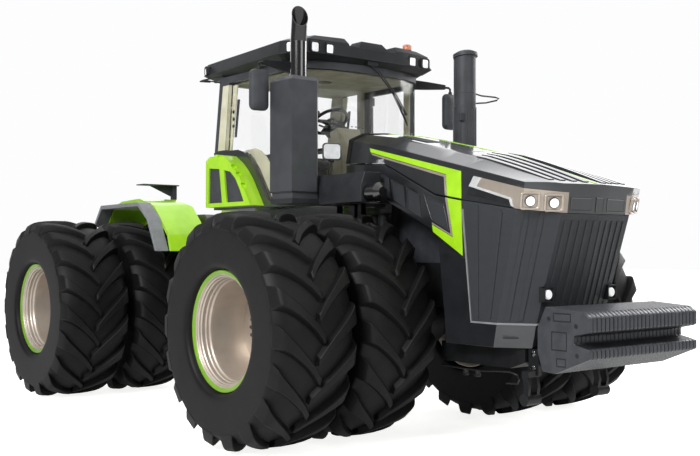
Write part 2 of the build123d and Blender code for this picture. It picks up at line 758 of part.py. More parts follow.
def door_outline(gap):
    """Door leaf inside its opening, drawn in by a gap all round."""
    left = b_pillar_x + 120 + gap
    top = cab_glass_top_z - 75 - gap
    front = 1060 - gap
    curve = [(x, z + gap * 0.3) for x, z in door_curve(gap)]
    below = [(x, z) for x, z in reversed(curve) if x > left] + [(left, curve_height(curve, left))]
    return [(left, top), (front, top), (front, cab_floor_z + gap)] + below


def door_leaf():
    leaf = side_plate(door_outline(door_gap), 785, 825)
    window = side_plate(door_outline(door_gap + door_stile), 700, 900)
    handle = block((1015, 825, 2700), (1045, 850, 2850))
    door = leaf - window + handle
    for z in door_hinge_heights:
        door += rod_z(16, door_hinge_x, door_hinge_y, z, z + 100)
        door += block((door_hinge_x, 825, z), (door_hinge_x + 45, door_hinge_y + 12, z + 100))
        door -= rod_z(8 + fit_clearance, door_hinge_x, door_hinge_y, z - 1, z + 101)
    return door


def roof_rear_x(z):
    """Where the roof's leaning rear face stands at one height."""
    return -660 + 20 * (z - roof_widest_z) / (roof_edge_z - roof_widest_z)


def roof():
    low = roof_bottom_z
    outline = [(-660, 850)] + roof_corner + [(1440, 430), (1440, 0)]
    smaller = [(-560, 760), (1060, 900), (1330, 770), (1370, 400), (1370, 0)]
    edge = [(-640, 820), (1080, 950), (1385, 810), (1425, 430), (1425, 0)]
    crown = [(-560, 700), (1000, 800), (1330, 690), (1380, 400), (1380, 0)]
    body = hull_between(low, smaller, roof_widest_z, outline)
    body += hull_between(roof_widest_z, outline, roof_edge_z, edge)
    body += hull_between(roof_edge_z, edge, low + 250, crown)
    dip = cross_plate([(-410, low + 400), (-310, low + 175), (310, low + 175), (410, low + 400)],
                      900, 1600)
    hatch = block((500, -110, low + 250), (760, 160, low + 300))
    for side in (1, -1):
        for x, y in roof_lamp_places:
            body -= block((x - 40, side * y - 55, roof_lamp_z - 62),
                          (x + 300, side * y + 55, roof_lamp_z + 62))
    return body - dip + hatch - corner_lamps()


def corner_lamps():
    """Lamp in each cut corner of the roof."""
    (xa, ya), (xb, yb) = roof_corner
    y = ya + (yb - ya) * (corner_lamp_x - xa) / (xb - xa)
    turn = degrees(atan2(xb - xa, ya - yb))
    lamp = Pos(corner_lamp_x, y, roof_lamp_z + 12) * Rot(0, 0, turn) * Box(70, 92, 100)
    return both_sides(lamp)


def roof_lamps():
    lamps = Part()
    for x, y in roof_lamp_places:
        lamps += block((x - 40, y - 50, roof_lamp_z - 57), (x + 22, y + 50, roof_lamp_z + 57))
    low, high = roof_widest_z + 2, roof_lamp_z + 60
    lamps += side_plate([(-700, low), (roof_rear_x(low), low), (roof_rear_x(high), high),
                         (-700, high)], 700, 800)
    return both_sides(lamps) + corner_lamps()


def seat():
    cushion = block((-90, -260, 2640), (430, 260, 2780))
    back = side_plate([(-90, 2780), (40, 2780), (-40, 3420), (-170, 3420)], -240, 240)
    return Part() + [cushion, back]


def seat_base():
    base = block((0, -180, cab_floor_z), (340, 180, 2640))
    console = side_plate([(-60, 2500), (420, 2500), (560, 2800), (500, 2860), (-60, 2800)], -420, -290)
    foot = block((0, -400, cab_floor_z), (300, -300, 2500))
    return base + console + foot


def steering_column():
    cowl = side_plate([(840, cab_floor_z), (1120, cab_floor_z), (1060, 2900), (1000, 3060),
                       (860, 3020), (900, 2800)], -150, 150)
    wheel_axis = Plane(origin=(wheel_x, 0, wheel_z), z_dir=(-sin(wheel_tilt), 0, cos(wheel_tilt)))
    column = wheel_axis * Pos(0, 0, -56 - seat_gap - 190) * Cylinder(32, 380)
    return cowl + column


def steering_wheel():
    wheel_axis = Plane(origin=(wheel_x, 0, wheel_z), z_dir=(-sin(wheel_tilt), 0, cos(wheel_tilt)))
    ring = wheel_axis * Torus(205, 16)
    bar = wheel_axis * Box(400, 34, 14)
    post = wheel_axis * Pos(0, -100, 0) * Box(34, 200, 14)
    boss = wheel_axis * Pos(0, 0, -26) * Cylinder(48, 60)
    return ring + bar + post + boss


# ---------------------------------------------------------------- outside the cab
def exhaust_guard():
    low, high = guard_bottom_z, guard_top_z
    bevel = 35
    x0, x1, y0, y1 = guard_x - 195, guard_x + 195, guard_y - 165, guard_y + 165
    body = top_plate([(x0, y0), (x1, y0), (x1 + 0, y1 - bevel), (x1 - bevel, y1), (x0, y1)],
                     low + 60, high - 40)
    inset = 30
    cap = lofted([
        [(x0, y0, high - 40), (x1, y0, high - 40), (x1, y1, high - 40), (x0, y1, high - 40)],
        [(x0 + inset, y0 + inset, high), (x1 - inset, y0 + inset, high),
         (x1 - inset, y1 - inset, high), (x0 + inset, y1 - inset, high)],
    ])
    foot = block((x0 + 15, y0 + 15, low), (x1 - 15, y1 - 15, low + 60))
    top = cap & top_plate([(x0, y0), (x1, y0), (x1, y1 - bevel), (x1 - bevel, y1), (x0, y1)],
                          high - 40, high)
    return body + top + foot


def exhaust_pipe():
    """Pipe that leans forward and outward at its outlet, cut on a slant and open."""
    def bar(radius, low_z):
        lower = rod_z(radius, pipe_x, guard_y, low_z, pipe_bend_z)
        upper = Cylinder(radius, 500, align=(Align.CENTER, Align.CENTER, Align.MIN))
        return lower + bend * Rot(0, pipe_lean, 0) * upper

    bend = Pos(pipe_x, guard_y, pipe_bend_z) * Rot(0, 0, pipe_turn)
    reach = outlet_z - pipe_bend_z
    beyond = bend * Pos(reach * tan(radians(pipe_lean)), 0, reach) * Rot(0, 62, 0) * \
        Box(900, 900, 500, align=(Align.CENTER, Align.CENTER, Align.MIN))
    hollow_z = pipe_bend_z - 200
    return bar(pipe_radius, guard_top_z) - bar(pipe_radius - pipe_wall, hollow_z) - beyond


def air_intake():
    """Round stack with a collar and a low domed cap that rises and overhangs at the front."""
    stack = rod_z(intake_radius, intake_x, intake_y, deck_top_z, intake_top_z)
    collar = rod_z(intake_radius + 8, intake_x, intake_y, deck_top_z, intake_collar_z)
    rim_radius = intake_radius + 14
    cap = Cylinder(rim_radius, 36) + Pos(0, 0, 30) * Cone(rim_radius, intake_radius - 30, 24)
    return stack + collar + Pos(intake_x + 10, intake_y, intake_top_z) * Rot(0, -8, 0) * cap


def tube(corners, radius):
    """Bent round tube along corner points."""
    path = Polyline(*corners)
    section = Plane(origin=corners[0], z_dir=path % 0) * Circle(radius)
    return sweep(section, path=path, transition=Transition.RIGHT)


def mirrors():
    """Mirror on an arm at each side of the cab, and a small one on the right deck."""
    x, arm_z, head_z = 1230, 3612, 3330
    foot = block((1080, 830, 3560), (1146, 846, 3664))
    arm = tube([(1112, 840, arm_z), (x, mirror_y, arm_z), (x, mirror_y, 3500)], 15)
    edges = Box(86, 236, 410)
    head = Pos(x, mirror_y, head_z) * chamfer(edges.edges(), 34)
    pair = both_sides(foot + arm + head)
    deck_y = -deck_outer_y + 70
    stem = tube([(1780, deck_y, deck_top_z), (1780, deck_y, 2660)], 11)
    small = Pos(1786, deck_y, 2705) * Rot(0, 0, -24) * chamfer(Box(46, 190, 170).edges(), 18)
    return pair + (stem + small)


def door_handrail():
    """Grab rail on the pillar behind the door."""
    x, y = b_pillar_x + 25, 950
    return tube([(x, 830, 3150), (x, y, 3150), (x, y, 3450), (x, 830, 3450)], rail_tube_radius)


def right_platform():
    """Narrow deck with a folded edge, under the exhaust and beside the hood."""
    outer, inner = -deck_outer_y, -deck_inner_y
    deck = cross_plate([(outer, deck_bottom_z), (outer, 2352), (outer + 45, deck_top_z),
                        (inner, deck_top_z), (inner, deck_bottom_z)],
                       deck_rear_x, right_deck_front_x)
    outrigger = block((guard_x - 195, guard_y - 165, deck_bottom_z),
                      (guard_x + 195, outer, guard_bottom_z))
    for x in (1500, 2100):
        deck += block((x, inner, deck_bottom_z), (x + 100, -rail_inner_y, 2260))
        deck += block((x, -rail_outer_y, rail_top_z), (x + 100, -rail_inner_y, deck_bottom_z))
    return deck + outrigger


def air_reservoir():
    """Bevelled air tank on the front end of the right deck."""
    y, z, length = -deck_outer_y + reservoir_radius + 20, 2280, 190
    tank = rod_x(reservoir_radius, y, z, right_deck_front_x, right_deck_front_x + length)
    far_end = tank.edges().sort_by(Axis.X)[-1]
    return chamfer(far_end, 45)


def left_platform():
    """Deck beside the hood with a landing in front of the door."""
    deck = block((deck_rear_x, deck_inner_y, deck_bottom_z), (2700, 1050, deck_top_z))
    landing = block((380, 835, 2160), (deck_rear_x, 1250, 2205))
    landing += block((deck_rear_x, 1050, 2160), (1500, 1250, 2205))
    for x in (1500, 2100):
        deck += block((x, rail_inner_y, deck_bottom_z), (x + 100, deck_inner_y, 2260))
        deck += block((x, rail_inner_y, rail_top_z), (x + 100, rail_outer_y, deck_bottom_z))
    return deck + landing


def left_steps():
    """Ladder that hangs from the landing, between the front and rear wheels."""
    steps = Part()
    for x in (step_rear_x, step_rear_x + step_width):
        steps += side_plate([(x, 2160), (x + 30, 2160), (x + 30, 560), (x, 560)], 1130, 1250)
    for number in range(5):
        z = 580 + number * 330
        steps += block((step_rear_x + 30, 1100, z), (step_rear_x + step_width, 1290, z + 30))
    return steps


def side_box():
    """Moulded cover outside the cab's lower rear corner, with two sunk fields."""
    inner, outer = 830, 830 + side_box_width
    body = side_plate(side_box_outline, inner, outer)
    for field in side_box_fields:
        body -= side_plate(field, side_box_field_y, outer + 10)
    for x, z, slope in side_box_notches:
        body -= Pos(x, outer, z) * Rot(0, slope, 0) * Box(66, 90, 44)
    return body


def door_sweep():
    """Space that the left door needs as it swings, over the cover outside it."""
    curve = door_curve(-10)
    below = [(x - door_hinge_x, z) for x, z in curve if x > door_hinge_x]
    profile = [(0, curve_height(curve, door_hinge_x))] + below + \
        [(900, below[-1][1]), (900, 3000), (0, 3000)]
    face = make_face(Polyline(*[(x + door_hinge_x, door_hinge_y, z) for x, z in profile], close=True))
    swing = revolve(face, axis=Axis((door_hinge_x, door_hinge_y, 0), (0, 0, 1)),
                    revolution_arc=90)
    return swing + side_plate([(x + door_hinge_x, z) for x, z in profile], 820, door_hinge_y)


def side_panels():
    """Plain panels in the fields of the side covers."""
    panels = Part()
    for field in side_box_fields:
        panels += side_plate(field, side_box_field_y, side_box_field_y + 25)
    return both_sides(panels)


# ---------------------------------------------------------------- front weights
def weights():
    """Row of hooked iron plates: grooves part them, down to a common core."""
    front, groove = front_end_x, weight_groove
    outline = [(4478, 1296), (4860, 1271), (front, 1237), (front, 1117), (4765, 1088), (4765, 1020),
               (front, 988), (front, 916), (4578, 779), (4445, 787), (weight_rear_x, 937),
               (weight_rear_x, 1130)]
    core = [(4478, 1296 - groove), (4860 - groove, 1271 - groove), (front - groove, 1237),
            (front - groove, 1117 + groove), (4765 - groove, 1088 + groove),
            (4765 - groove, 1020 - groove), (front - groove, 988 - groove), (front - groove, 916),
            (4578, 779 + groove), (4445, 787 + groove), (weight_rear_x, 937),
            (weight_rear_x, 1130)]
    pitch = 2 * weight_half_width / weight_count
    row = side_plate(core, -weight_half_width + 1, weight_half_width - 1)
    plates = [side_plate(outline, -weight_half_width + k * pitch,
                         -weight_half_width + (k + 1) * pitch - weight_gap)
              for k in range(weight_count - 1)]
    plates.append(side_plate(outline, weight_half_width - pitch, weight_half_width))
    return row + plates


def weight_carrier():
    """Plate and hook rail for the weights, on two arms that hang from the frame rails."""
    plate = block((4280, -420, 780), (4380, 420, 1240))
    hook = block((4380, -680, 980), (weight_rear_x, 680, 1110))
    arm = block((3600, rail_inner_y, 780), (4280, rail_outer_y, skirt_bottom_z - 5))
    arm += block((3600, rail_inner_y, 780), (3700, rail_outer_y, rail_bottom_z))
    return plate + hook + both_sides(arm + tow_yoke()) + belly_pan()


def belly_pan():
    """Shallow tray under the nose skirt, carried by the two arms."""
    outline = [(3000, 915), (3000, 740), (3860, 740), (4030, 800), (4030, 915)]
    inside = [(3015, 920), (3015, 780), (3860, 780), (4015, 812), (4015, 920)]
    half = belly_half_width
    return side_plate(outline, -half, half) - side_plate(inside, 15 - half, half - 15)


def tow_yoke():
    """Forked hook beside an arm: a hanging plate, two curved links and a cross pin."""
    near, far = rail_outer_y, rail_outer_y + tow_pin_length
    yoke = block((tow_pin_x - 45, near, 700), (tow_pin_x + 65, near + 40, 915))
    yoke += block((tow_pin_x - 30, near, 690), (tow_pin_x + 50, far, 740))
    link = [(tow_pin_x - 28, 700), (tow_pin_x - 2, 610), (tow_pin_x - 26, tow_pin_z),
            (tow_pin_x + 34, tow_pin_z), (tow_pin_x + 52, 610), (tow_pin_x + 30, 700)]
    for y in (near, far - 30):
        yoke += side_plate(link, y, y + 30)
    return yoke + rod_y(tow_pin_radius, tow_pin_x + 6, tow_pin_z, near - 10, far + 10)


# ---------------------------------------------------------------- rear body
def over_axle(points):
    """Outline points that are given from the rear axle in x."""
    return [(rear_axle_x + x, z) for x, z in points]


def fenders():
    outer = over_axle([(-700, 2050), (-480, 2290), (-240, 2350), (260, 2370), (660, 2270),
                       (1030, 1930), (1100, 1720)])
    inner = over_axle([(1060, 1720), (995, 1905), (640, 2228), (255, 2325), (-235, 2305),
                       (-460, 2250), (-665, 2040)])
    crown = side_plate(outer + inner, 560, 1060)
    inner_wall = side_plate(outer, 540, 560)
    bracket = block((rear_axle_x - 100, rail_outer_y, 1950), (rear_axle_x + 100, 540, 2000))
    return both_sides(crown + inner_wall + bracket)


def fender_lips():
    outer = over_axle([(-720, 2040), (-500, 2300), (560, 2310), (830, 2120), (1050, 1720)])
    inner = over_axle([(1010, 1720), (795, 2095), (548, 2262), (-480, 2252), (-685, 2025)])
    return both_sides(side_plate(outer + inner, 1060, 1230))


def rear_deck():
    outline = over_axle([(-740, rail_top_z), (-740, 2080), (-540, 2180), (660, 2180), (1060, 1900),
                         (1260, rail_top_z)])
    return side_plate(outline, -rail_outer_y, rail_outer_y)


def drawbar():
    """Flat drawbar through its guide, with the pin bore at its rear end."""
    half = drawbar_width / 2
    low, pin_x = drawbar_top_z - drawbar_thickness, rear_end_x + half
    bar = block((pin_x, -half, low), (rear_frame_end_x + 500, half, drawbar_top_z))
    bar += rod_z(half, pin_x, 0, low, drawbar_top_z)
    return bar - rod_z(drawbar_bore_radius, pin_x, 0, low - 1, drawbar_top_z + 1)


def rear_bracket():
    """Plate on a post beside the rear deck, with a gusset."""
    x = rear_axle_x - 90
    post = block((x - 30, -440, 2010), (x + 30, -rail_outer_y, 2560))
    plate = block((x - 100, -890, 2560), (x + 100, -rail_outer_y, 2575))
    gusset = cross_plate([(-440, 2560), (-440, 2420), (-760, 2560)], x - 5, x + 5)
    return post + plate + gusset


# ---------------------------------------------------------------- nodes
tyre_form = lugged_tyre()
parts = {}
parts["front_frame"] = front_frame()
parts["pivot_fork"] = pivot_fork()
parts["rear_frame"] = rear_frame()
parts["front_axle"] = axle(front_axle_x)
parts["rear_axle"] = axle(rear_axle_x)
for end, axle_x in (("front", front_axle_x), ("rear", rear_axle_x)):
    for hand, side in (("left", 1), ("right", -1)):
        name = f"{end}_{hand}"
        parts[f"{name}_tyres"] = placed_tyres(side, axle_x)
        parts[f"{name}_rims"] = Part() + [rim(inner_wheel_y, inner_disc_y, side, axle_x),
                                          rim(outer_wheel_y, outer_disc_y, side, axle_x)]
        parts[f"{name}_hub"] = hub(side, axle_x)
for hand, side in (("left", 1), ("right", -1)):
    parts[f"{hand}_cylinder_barrel"] = cylinder_barrel(side)
    parts[f"{hand}_cylinder_rod"] = cylinder_rod(side)

hood_outer = hood_lid(0)
hood_hollow = hood_lid(hood_wall)
hood_shell = hood_outer - hood_hollow
parts["engine_block"] = block((1900, -280, engine_bottom_z), (3350, 280, 2150)) + \
    block((560, -250, engine_bottom_z), (1900, 250, 1900))
parts["front_weights"] = weights()
parts["weight_carrier"] = weight_carrier()
parts["nose_skirt"] = nose_skirt()
parts["front_grille"] = grille()
parts["fog_lamps"] = fog_lamps()
parts["hood_sides"] = both_sides(hood_side())
parts["hood"] = hood_shell - headlight_zones() + hood_hinge_plates()
parts["headlights"] = (hood_shell & headlight_zones()) - headlight_bars(headlight_radius)
parts["headlight_lenses"] = headlight_bars(headlight_radius)
parts["cab_base"] = cab_base()
parts["cab_frame"] = cab_frame()
parts["cab_roof"] = roof()
parts["roof_lamps"] = roof_lamps()
parts["beacon"] = rod_z(50, 1230, 640, roof_bottom_z + 250, roof_bottom_z + 340)
parts["windscreen"] = bow_plate(15, 15 + glass, sill_top_z, cab_glass_top_z - 75)
parts["cab_glass"] = fixed_glass()
parts["left_door"] = door_leaf()
parts["left_door_glass"] = side_plate(door_outline(door_gap + door_stile), 800, 800 + glass)
parts["seat"] = seat()
parts["seat_base"] = seat_base()
parts["steering_column"] = steering_column()
parts["steering_wheel"] = steering_wheel()
parts["exhaust_guard"] = exhaust_guard()
parts["exhaust_pipe"] = exhaust_pipe()
parts["door_handrail"] = door_handrail()
parts["air_intake"] = air_intake()
parts["mirrors"] = mirrors()
parts["right_platform"] = right_platform()
parts["air_reservoir"] = air_reservoir()
parts["left_platform"] = left_platform()
parts["left_steps"] = left_steps()
parts["cab_side_boxes"] = Part() + [side_box() - door_sweep(), mirrored(side_box())]
parts["cab_side_panels"] = side_panels()
parts["rear_fenders"] = fenders()
parts["fender_lips"] = fender_lips()
parts["rear_deck"] = rear_deck()
parts["drawbar"] = drawbar()
parts["rear_bracket"] = rear_bracket()



def write_parts():
    os.makedirs("parts", exist_ok=True)
    shift = -(front_end_x + rear_end_x) / 2
    for name, shape in parts.items():
        export_step(Pos(shift, 0, 0) * shape, f"parts/{name}.step")


write_parts()
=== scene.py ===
"""Articulated farm tractor: finishes, fine forms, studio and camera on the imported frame."""
import json
import math

import bmesh
import bpy
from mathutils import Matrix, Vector


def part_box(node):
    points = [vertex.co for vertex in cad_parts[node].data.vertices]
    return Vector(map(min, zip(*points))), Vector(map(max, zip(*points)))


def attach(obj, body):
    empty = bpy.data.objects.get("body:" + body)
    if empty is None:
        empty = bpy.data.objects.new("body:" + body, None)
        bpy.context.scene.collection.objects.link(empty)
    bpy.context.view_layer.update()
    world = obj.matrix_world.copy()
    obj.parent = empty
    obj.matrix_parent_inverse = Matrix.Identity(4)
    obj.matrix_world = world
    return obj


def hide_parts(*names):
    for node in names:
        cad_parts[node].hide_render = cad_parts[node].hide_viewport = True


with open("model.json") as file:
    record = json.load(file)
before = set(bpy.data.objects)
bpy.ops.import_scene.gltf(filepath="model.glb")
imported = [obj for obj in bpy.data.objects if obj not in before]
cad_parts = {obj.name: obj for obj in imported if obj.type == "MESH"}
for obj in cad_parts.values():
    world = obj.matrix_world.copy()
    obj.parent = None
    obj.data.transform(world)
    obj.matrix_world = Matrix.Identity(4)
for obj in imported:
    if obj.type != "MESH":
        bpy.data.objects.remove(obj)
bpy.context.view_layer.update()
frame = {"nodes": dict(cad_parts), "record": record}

nodes = frame["nodes"]

# The layout counts x from the articulation pivot, in millimetres; the frame counts it in
# metres from the middle of the tractor. The front axle ties the two together.
AXLE_X = 2160
AXLE_Z = 1042
_low, _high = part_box("front_axle")
PIVOT_X = (_low[0] + _high[0]) / 2 - AXLE_X / 1000


def at(x, y, z):
    """A layout point in millimetres, as a point of the frame in metres."""
    return Vector((x / 1000 + PIVOT_X, y / 1000, z / 1000))


# ------------------------------------------------------------------ finishes
def paint_code(code, alpha=1.0):
    """sRGB hex code as linear colour."""
    out = []
    for i in (0, 2, 4):
        c = int(code[i:i + 2], 16) / 255
        out.append(c / 12.92 if c <= 0.04045 else ((c + 0.055) / 1.055) ** 2.4)
    return (*out, alpha)


def node(tree, kind, links=None, **settings):
    """Adds one shader node, sets its values and feeds its inputs."""
    new = tree.nodes.new(kind)
    for key, value in settings.items():
        if key in new.inputs:
            new.inputs[key].default_value = value
        elif isinstance(value, dict):
            for socket, amount in value.items():
                new.inputs[socket].default_value = amount
        else:
            setattr(new, key, value)
    for socket, source in (links or {}).items():
        tree.links.new(source, new.inputs[socket])
    return new


def finish_named(name, values):
    """New material with its Principled shader set to plain numbers."""
    mat = bpy.data.materials.new(name)
    mat.use_nodes = True
    tree = mat.node_tree
    shader = tree.nodes["Principled BSDF"]
    for socket, amount in values.items():
        shader.inputs[socket].default_value = amount
    return mat, tree, shader


def object_place(tree):
    """Place on the piece itself, in metres, so that a pattern moves with it."""
    return node(tree, "ShaderNodeTexCoord").outputs["Object"]


def grain_pattern(tree, place, size_mm, detail, **more):
    """Random pattern whose patches have a real size."""
    return node(tree, "ShaderNodeTexNoise", {"Vector": place}, sockets={
        "Scale": 1000 / size_mm, "Detail": detail, **more})


def bands(tree, place, direction, stroke_mm, **more):
    """Bands across one axis, each light or dark stroke about stroke_mm wide."""
    return node(tree, "ShaderNodeTexWave", {"Vector": place}, bands_direction=direction,
                sockets={"Scale": 1000 / stroke_mm / 6.283, **more})


def speckled(tree, shader, place, colours, size_mm, detail=2.0):
    """Colour that drifts between two tones in patches of a real size."""
    drift = grain_pattern(tree, place, size_mm, detail, Roughness=0.6)
    ramp = node(tree, "ShaderNodeValToRGB", {"Fac": drift.outputs["Fac"]})
    for stop, share, colour in zip(ramp.color_ramp.elements, (0.35, 0.65), colours):
        stop.position = share
        stop.color = paint_code(colour)
    tree.links.new(ramp.outputs["Color"], shader.inputs["Base Color"])
    return ramp


def grained(tree, shader, height, depth_mm, strength=0.5):
    """Surface grain from a height, with its real depth."""
    bump = node(tree, "ShaderNodeBump", {"Height": height}, sockets={
        "Strength": strength, "Distance": depth_mm / 1000})
    tree.links.new(bump.outputs["Normal"], shader.inputs["Normal"])


def roughened(tree, shader, source, low, high):
    """Roughness that follows a pattern, between two values."""
    span = node(tree, "ShaderNodeMapRange", {"Value": source}, sockets={
        "To Min": low, "To Max": high})
    tree.links.new(span.outputs["Result"], shader.inputs["Roughness"])


def metallic_lacquer(name, tones, metallic, roughness, coat=0.7):
    """Metallic base coat under clear lacquer: fine flake, slight orange peel, deep gloss."""
    mat, tree, shader = finish_named(name, {
        "Metallic": metallic, "Roughness": roughness, "Coat Weight": coat, "Coat Roughness": 0.06,
        "Coat IOR": 1.5})
    place = object_place(tree)
    speckled(tree, shader, place, tones, 260)
    # flake is 0.05 mm on the real coat; drawn at 6 mm so that it shows
    flake = grain_pattern(tree, place, 6, 3.0)
    roughened(tree, shader, flake.outputs["Fac"], roughness - 0.06, roughness + 0.08)
    peel = grain_pattern(tree, place, 14, 1.0)
    grained(tree, shader, peel.outputs["Fac"], 0.25, 0.25)
    return mat


def textured_abs(name, tones, roughness=0.5, grain_mm=3.0, depth_mm=0.25):
    """Moulded ABS with a spark-eroded grain: dull, with a soft broken highlight."""
    mat, tree, shader = finish_named(name, {"Roughness": roughness, "IOR": 1.53,
                                            "Specular IOR Level": 0.28})
    place = object_place(tree)
    speckled(tree, shader, place, tones, 180)
    grain = grain_pattern(tree, place, grain_mm, 4.0)
    roughened(tree, shader, grain.outputs["Fac"], roughness - 0.08, roughness + 0.1)
    grained(tree, shader, grain.outputs["Fac"], depth_mm, 0.4)
    return mat


def satin_chassis_paint(name, tones, roughness=0.42, cast_mm=9.0, depth_mm=0.4):
    """Two-pack chassis paint over blasted castings and plate: satin, faintly pitted."""
    mat, tree, shader = finish_named(name, {
        "Roughness": roughness, "IOR": 1.5, "Specular IOR Level": 0.3, "Coat Weight": 0.1,
        "Coat Roughness": 0.25})
    place = object_place(tree)
    speckled(tree, shader, place, tones, 120, 4.0)
    pits = node(tree, "ShaderNodeTexVoronoi", {"Vector": place}, sockets={
        "Scale": 1000 / cast_mm})
    roughened(tree, shader, pits.outputs["Distance"], roughness - 0.08, roughness + 0.12)
    grained(tree, shader, pits.outputs["Distance"], depth_mm, 0.35)
    return mat


def farm_tyre_rubber(name):
    """Natural-rubber tread compound: near black, matt, with a mould skin and a painted highlight on
    sharp edges.
    """
    mat, tree, shader = finish_named(name, {"Roughness": 0.6, "IOR": 1.52,
                                            "Specular IOR Level": 0.2})
    place = object_place(tree)
    ramp = speckled(tree, shader, place, ("09090a", "101011"), 140, 5.0)
    # sharp edges are painted paler, a painted highlight where they catch the light
    shape = node(tree, "ShaderNodeNewGeometry")
    painted_edge_highlight = node(tree, "ShaderNodeMapRange", {"Value": shape.outputs["Pointiness"]}, sockets={
        "From Min": 0.55, "From Max": 0.64})
    tone = node(tree, "ShaderNodeMix", {0: painted_edge_highlight.outputs["Result"], 6: ramp.outputs["Color"]},
                data_type="RGBA", sockets={7: paint_code("4c4c4e")})
    tree.links.new(tone.outputs[2], shader.inputs["Base Color"])
    # mould skin is about 1 mm; drawn at 5 mm so that it shows
    skin = grain_pattern(tree, place, 5, 5.0, Roughness=0.7)
    roughened(tree, shader, skin.outputs["Fac"], 0.42, 0.62)
    grained(tree, shader, skin.outputs["Fac"], 0.8, 0.35)
    return mat


def cab_glass(name):
    """Toughened tinted cab glass: clear, faint green, sharp reflections."""
    mat, tree, shader = finish_named(name, {
        "Roughness": 0.02, "IOR": 1.5, "Transmission Weight": 1.0, "Alpha": 0.06,
        "Base Color": paint_code("f3f7f3")})
    place = object_place(tree)
    film = grain_pattern(tree, place, 320, 2.0)
    roughened(tree, shader, film.outputs["Fac"], 0.015, 0.05)
    return mat


def lamp_polycarbonate(name, tones, emission=0.0):
    """Clear polycarbonate over a bright reflector: white, glossy, finely fluted."""
    mat, tree, shader = finish_named(name, {
        "Roughness": 0.12, "IOR": 1.58, "Coat Weight": 0.8, "Coat Roughness": 0.03,
        "Emission Strength": emission, "Emission Color": paint_code("ffffff")})
    place = object_place(tree)
    speckled(tree, shader, place, tones, 18, 2.0)
    flutes = bands(tree, place, "Z", 10, Distortion=0.0)
    grained(tree, shader, flutes.outputs["Fac"], 0.5, 0.3)
    return mat


def turned_chrome(name):
    """Hard-chromed ground bar: mirror bright with fine turning marks along its length."""
    mat, tree, shader = finish_named(name, {"Metallic": 1.0, "Roughness": 0.12})
    place = object_place(tree)
    speckled(tree, shader, place, ("b9babd", "d2d3d6"), 90)
    marks = bands(tree, place, "X", 4, Distortion=0.6)
    grained(tree, shader, marks.outputs["Fac"], 0.05, 0.15)
    return mat


def woven_seat_cloth(name):
    """Flat-woven polyester seat cloth: crossed threads with a soft nap."""
    mat, tree, shader = finish_named(name, {"Roughness": 0.85, "Sheen Weight": 0.3,
                                            "Sheen Roughness": 0.6})
    place = object_place(tree)
    speckled(tree, shader, place, ("232326", "323236"), 60, 3.0)
    # threads are 1 mm; drawn at 8 mm so that the weave shows
    warp, weft = (bands(tree, place, way, 8) for way in "XY")
    cross = node(tree, "ShaderNodeMath", {0: warp.outputs["Fac"], 1: weft.outputs["Fac"]},
                 operation="MAXIMUM")
    grained(tree, shader, cross.outputs["Value"], 1.0, 0.5)
    return mat


def perforated_grille(name):
    """Moulded mesh panel: staggered slots of 13 by 9 mm between thin bridges."""
    mat, tree, shader = finish_named(name, {"Roughness": 0.48, "IOR": 1.5,
                                            "Specular IOR Level": 0.3})
    axes = node(tree, "ShaderNodeSeparateXYZ", {"Vector": object_place(tree)})
    # one measure runs round the nose from its flank to its front, the other up it
    out = node(tree, "ShaderNodeMath", {0: axes.outputs["Y"]}, operation="ABSOLUTE")
    along = node(tree, "ShaderNodeMath", {0: axes.outputs["X"], 1: out.outputs["Value"]},
                 operation="SUBTRACT")
    flat = node(tree, "ShaderNodeCombineXYZ", {"X": along.outputs["Value"],
                                               "Y": axes.outputs["Z"]})
    slots = node(tree, "ShaderNodeTexBrick", {"Vector": flat.outputs["Vector"]}, sockets={
        "Color1": paint_code("141517"), "Color2": paint_code("1b1c1f"),
        "Mortar": paint_code("3e4145"), "Scale": 1.0, "Mortar Size": 0.0024,
        "Mortar Smooth": 0.2, "Brick Width": 0.013, "Row Height": 0.009})
    tree.links.new(slots.outputs["Color"], shader.inputs["Base Color"])
    roughened(tree, shader, slots.outputs["Fac"], 0.7, 0.42)
    grained(tree, shader, slots.outputs["Fac"], 3.0, 0.5)
    return mat


def bright_moulding(name):
    """Anodised aluminium strip: pale and satin, with a fine grain."""
    mat, tree, shader = finish_named(name, {"Metallic": 0.35, "Roughness": 0.24,
                                            "Coat Weight": 0.5, "Coat Roughness": 0.1})
    place = object_place(tree)
    speckled(tree, shader, place, ("d4d6d8", "e8e9ea"), 70)
    brush = grain_pattern(tree, place, 5, 4.0)
    roughened(tree, shader, brush.outputs["Fac"], 0.18, 0.3)
    grained(tree, shader, brush.outputs["Fac"], 0.05, 0.2)
    return mat


graphite = metallic_lacquer("graphite_lacquer", ("26282b", "2f3135"), 0.4, 0.3, 1.0)
lime = metallic_lacquer("lime_enamel", ("9cd41a", "aae21e"), 0.0, 0.3)
# a darker copy of the lime enamel: painted shade for the flange rings, which sit deep in the wheels
lime_painted_shade = metallic_lacquer("lime_enamel_painted_shade", ("689414", "74a218"), 0.0, 0.4, 0.4)
champagne = metallic_lacquer("champagne_wheel_lacquer", ("b6aa9e", "c4b9ad"), 0.6, 0.42, 0.3)
pearl_bezel = metallic_lacquer("champagne_bezel", ("a69a8e", "b3a89c"), 0.35, 0.3, 0.4)
rubber = farm_tyre_rubber("tread_rubber")
casting = satin_chassis_paint("grey_iron_casting", ("34363a", "404247"), 0.36, 12, 0.5)
chassis = satin_chassis_paint("black_chassis_paint", ("0f1011", "1a1b1d"))
black_heat = metallic_lacquer("black_stove_enamel", ("0a0a0b", "111112"), 0.0, 0.2, 1.0)
deck_paint = satin_chassis_paint("grey_deck_paint", ("202225", "292b2e"), 0.45, 7, 0.3)
dark_abs = textured_abs("charcoal_abs", ("36383b", "404246"))
black_abs = textured_abs("black_abs", ("1a1b1d", "242528"))
trim_abs = textured_abs("olive_beige_trim", ("8a8770", "a09c86"), 0.6)
pale_trim = textured_abs("pale_beige_trim", ("c2bfa6", "d0cdb6"), 0.6)
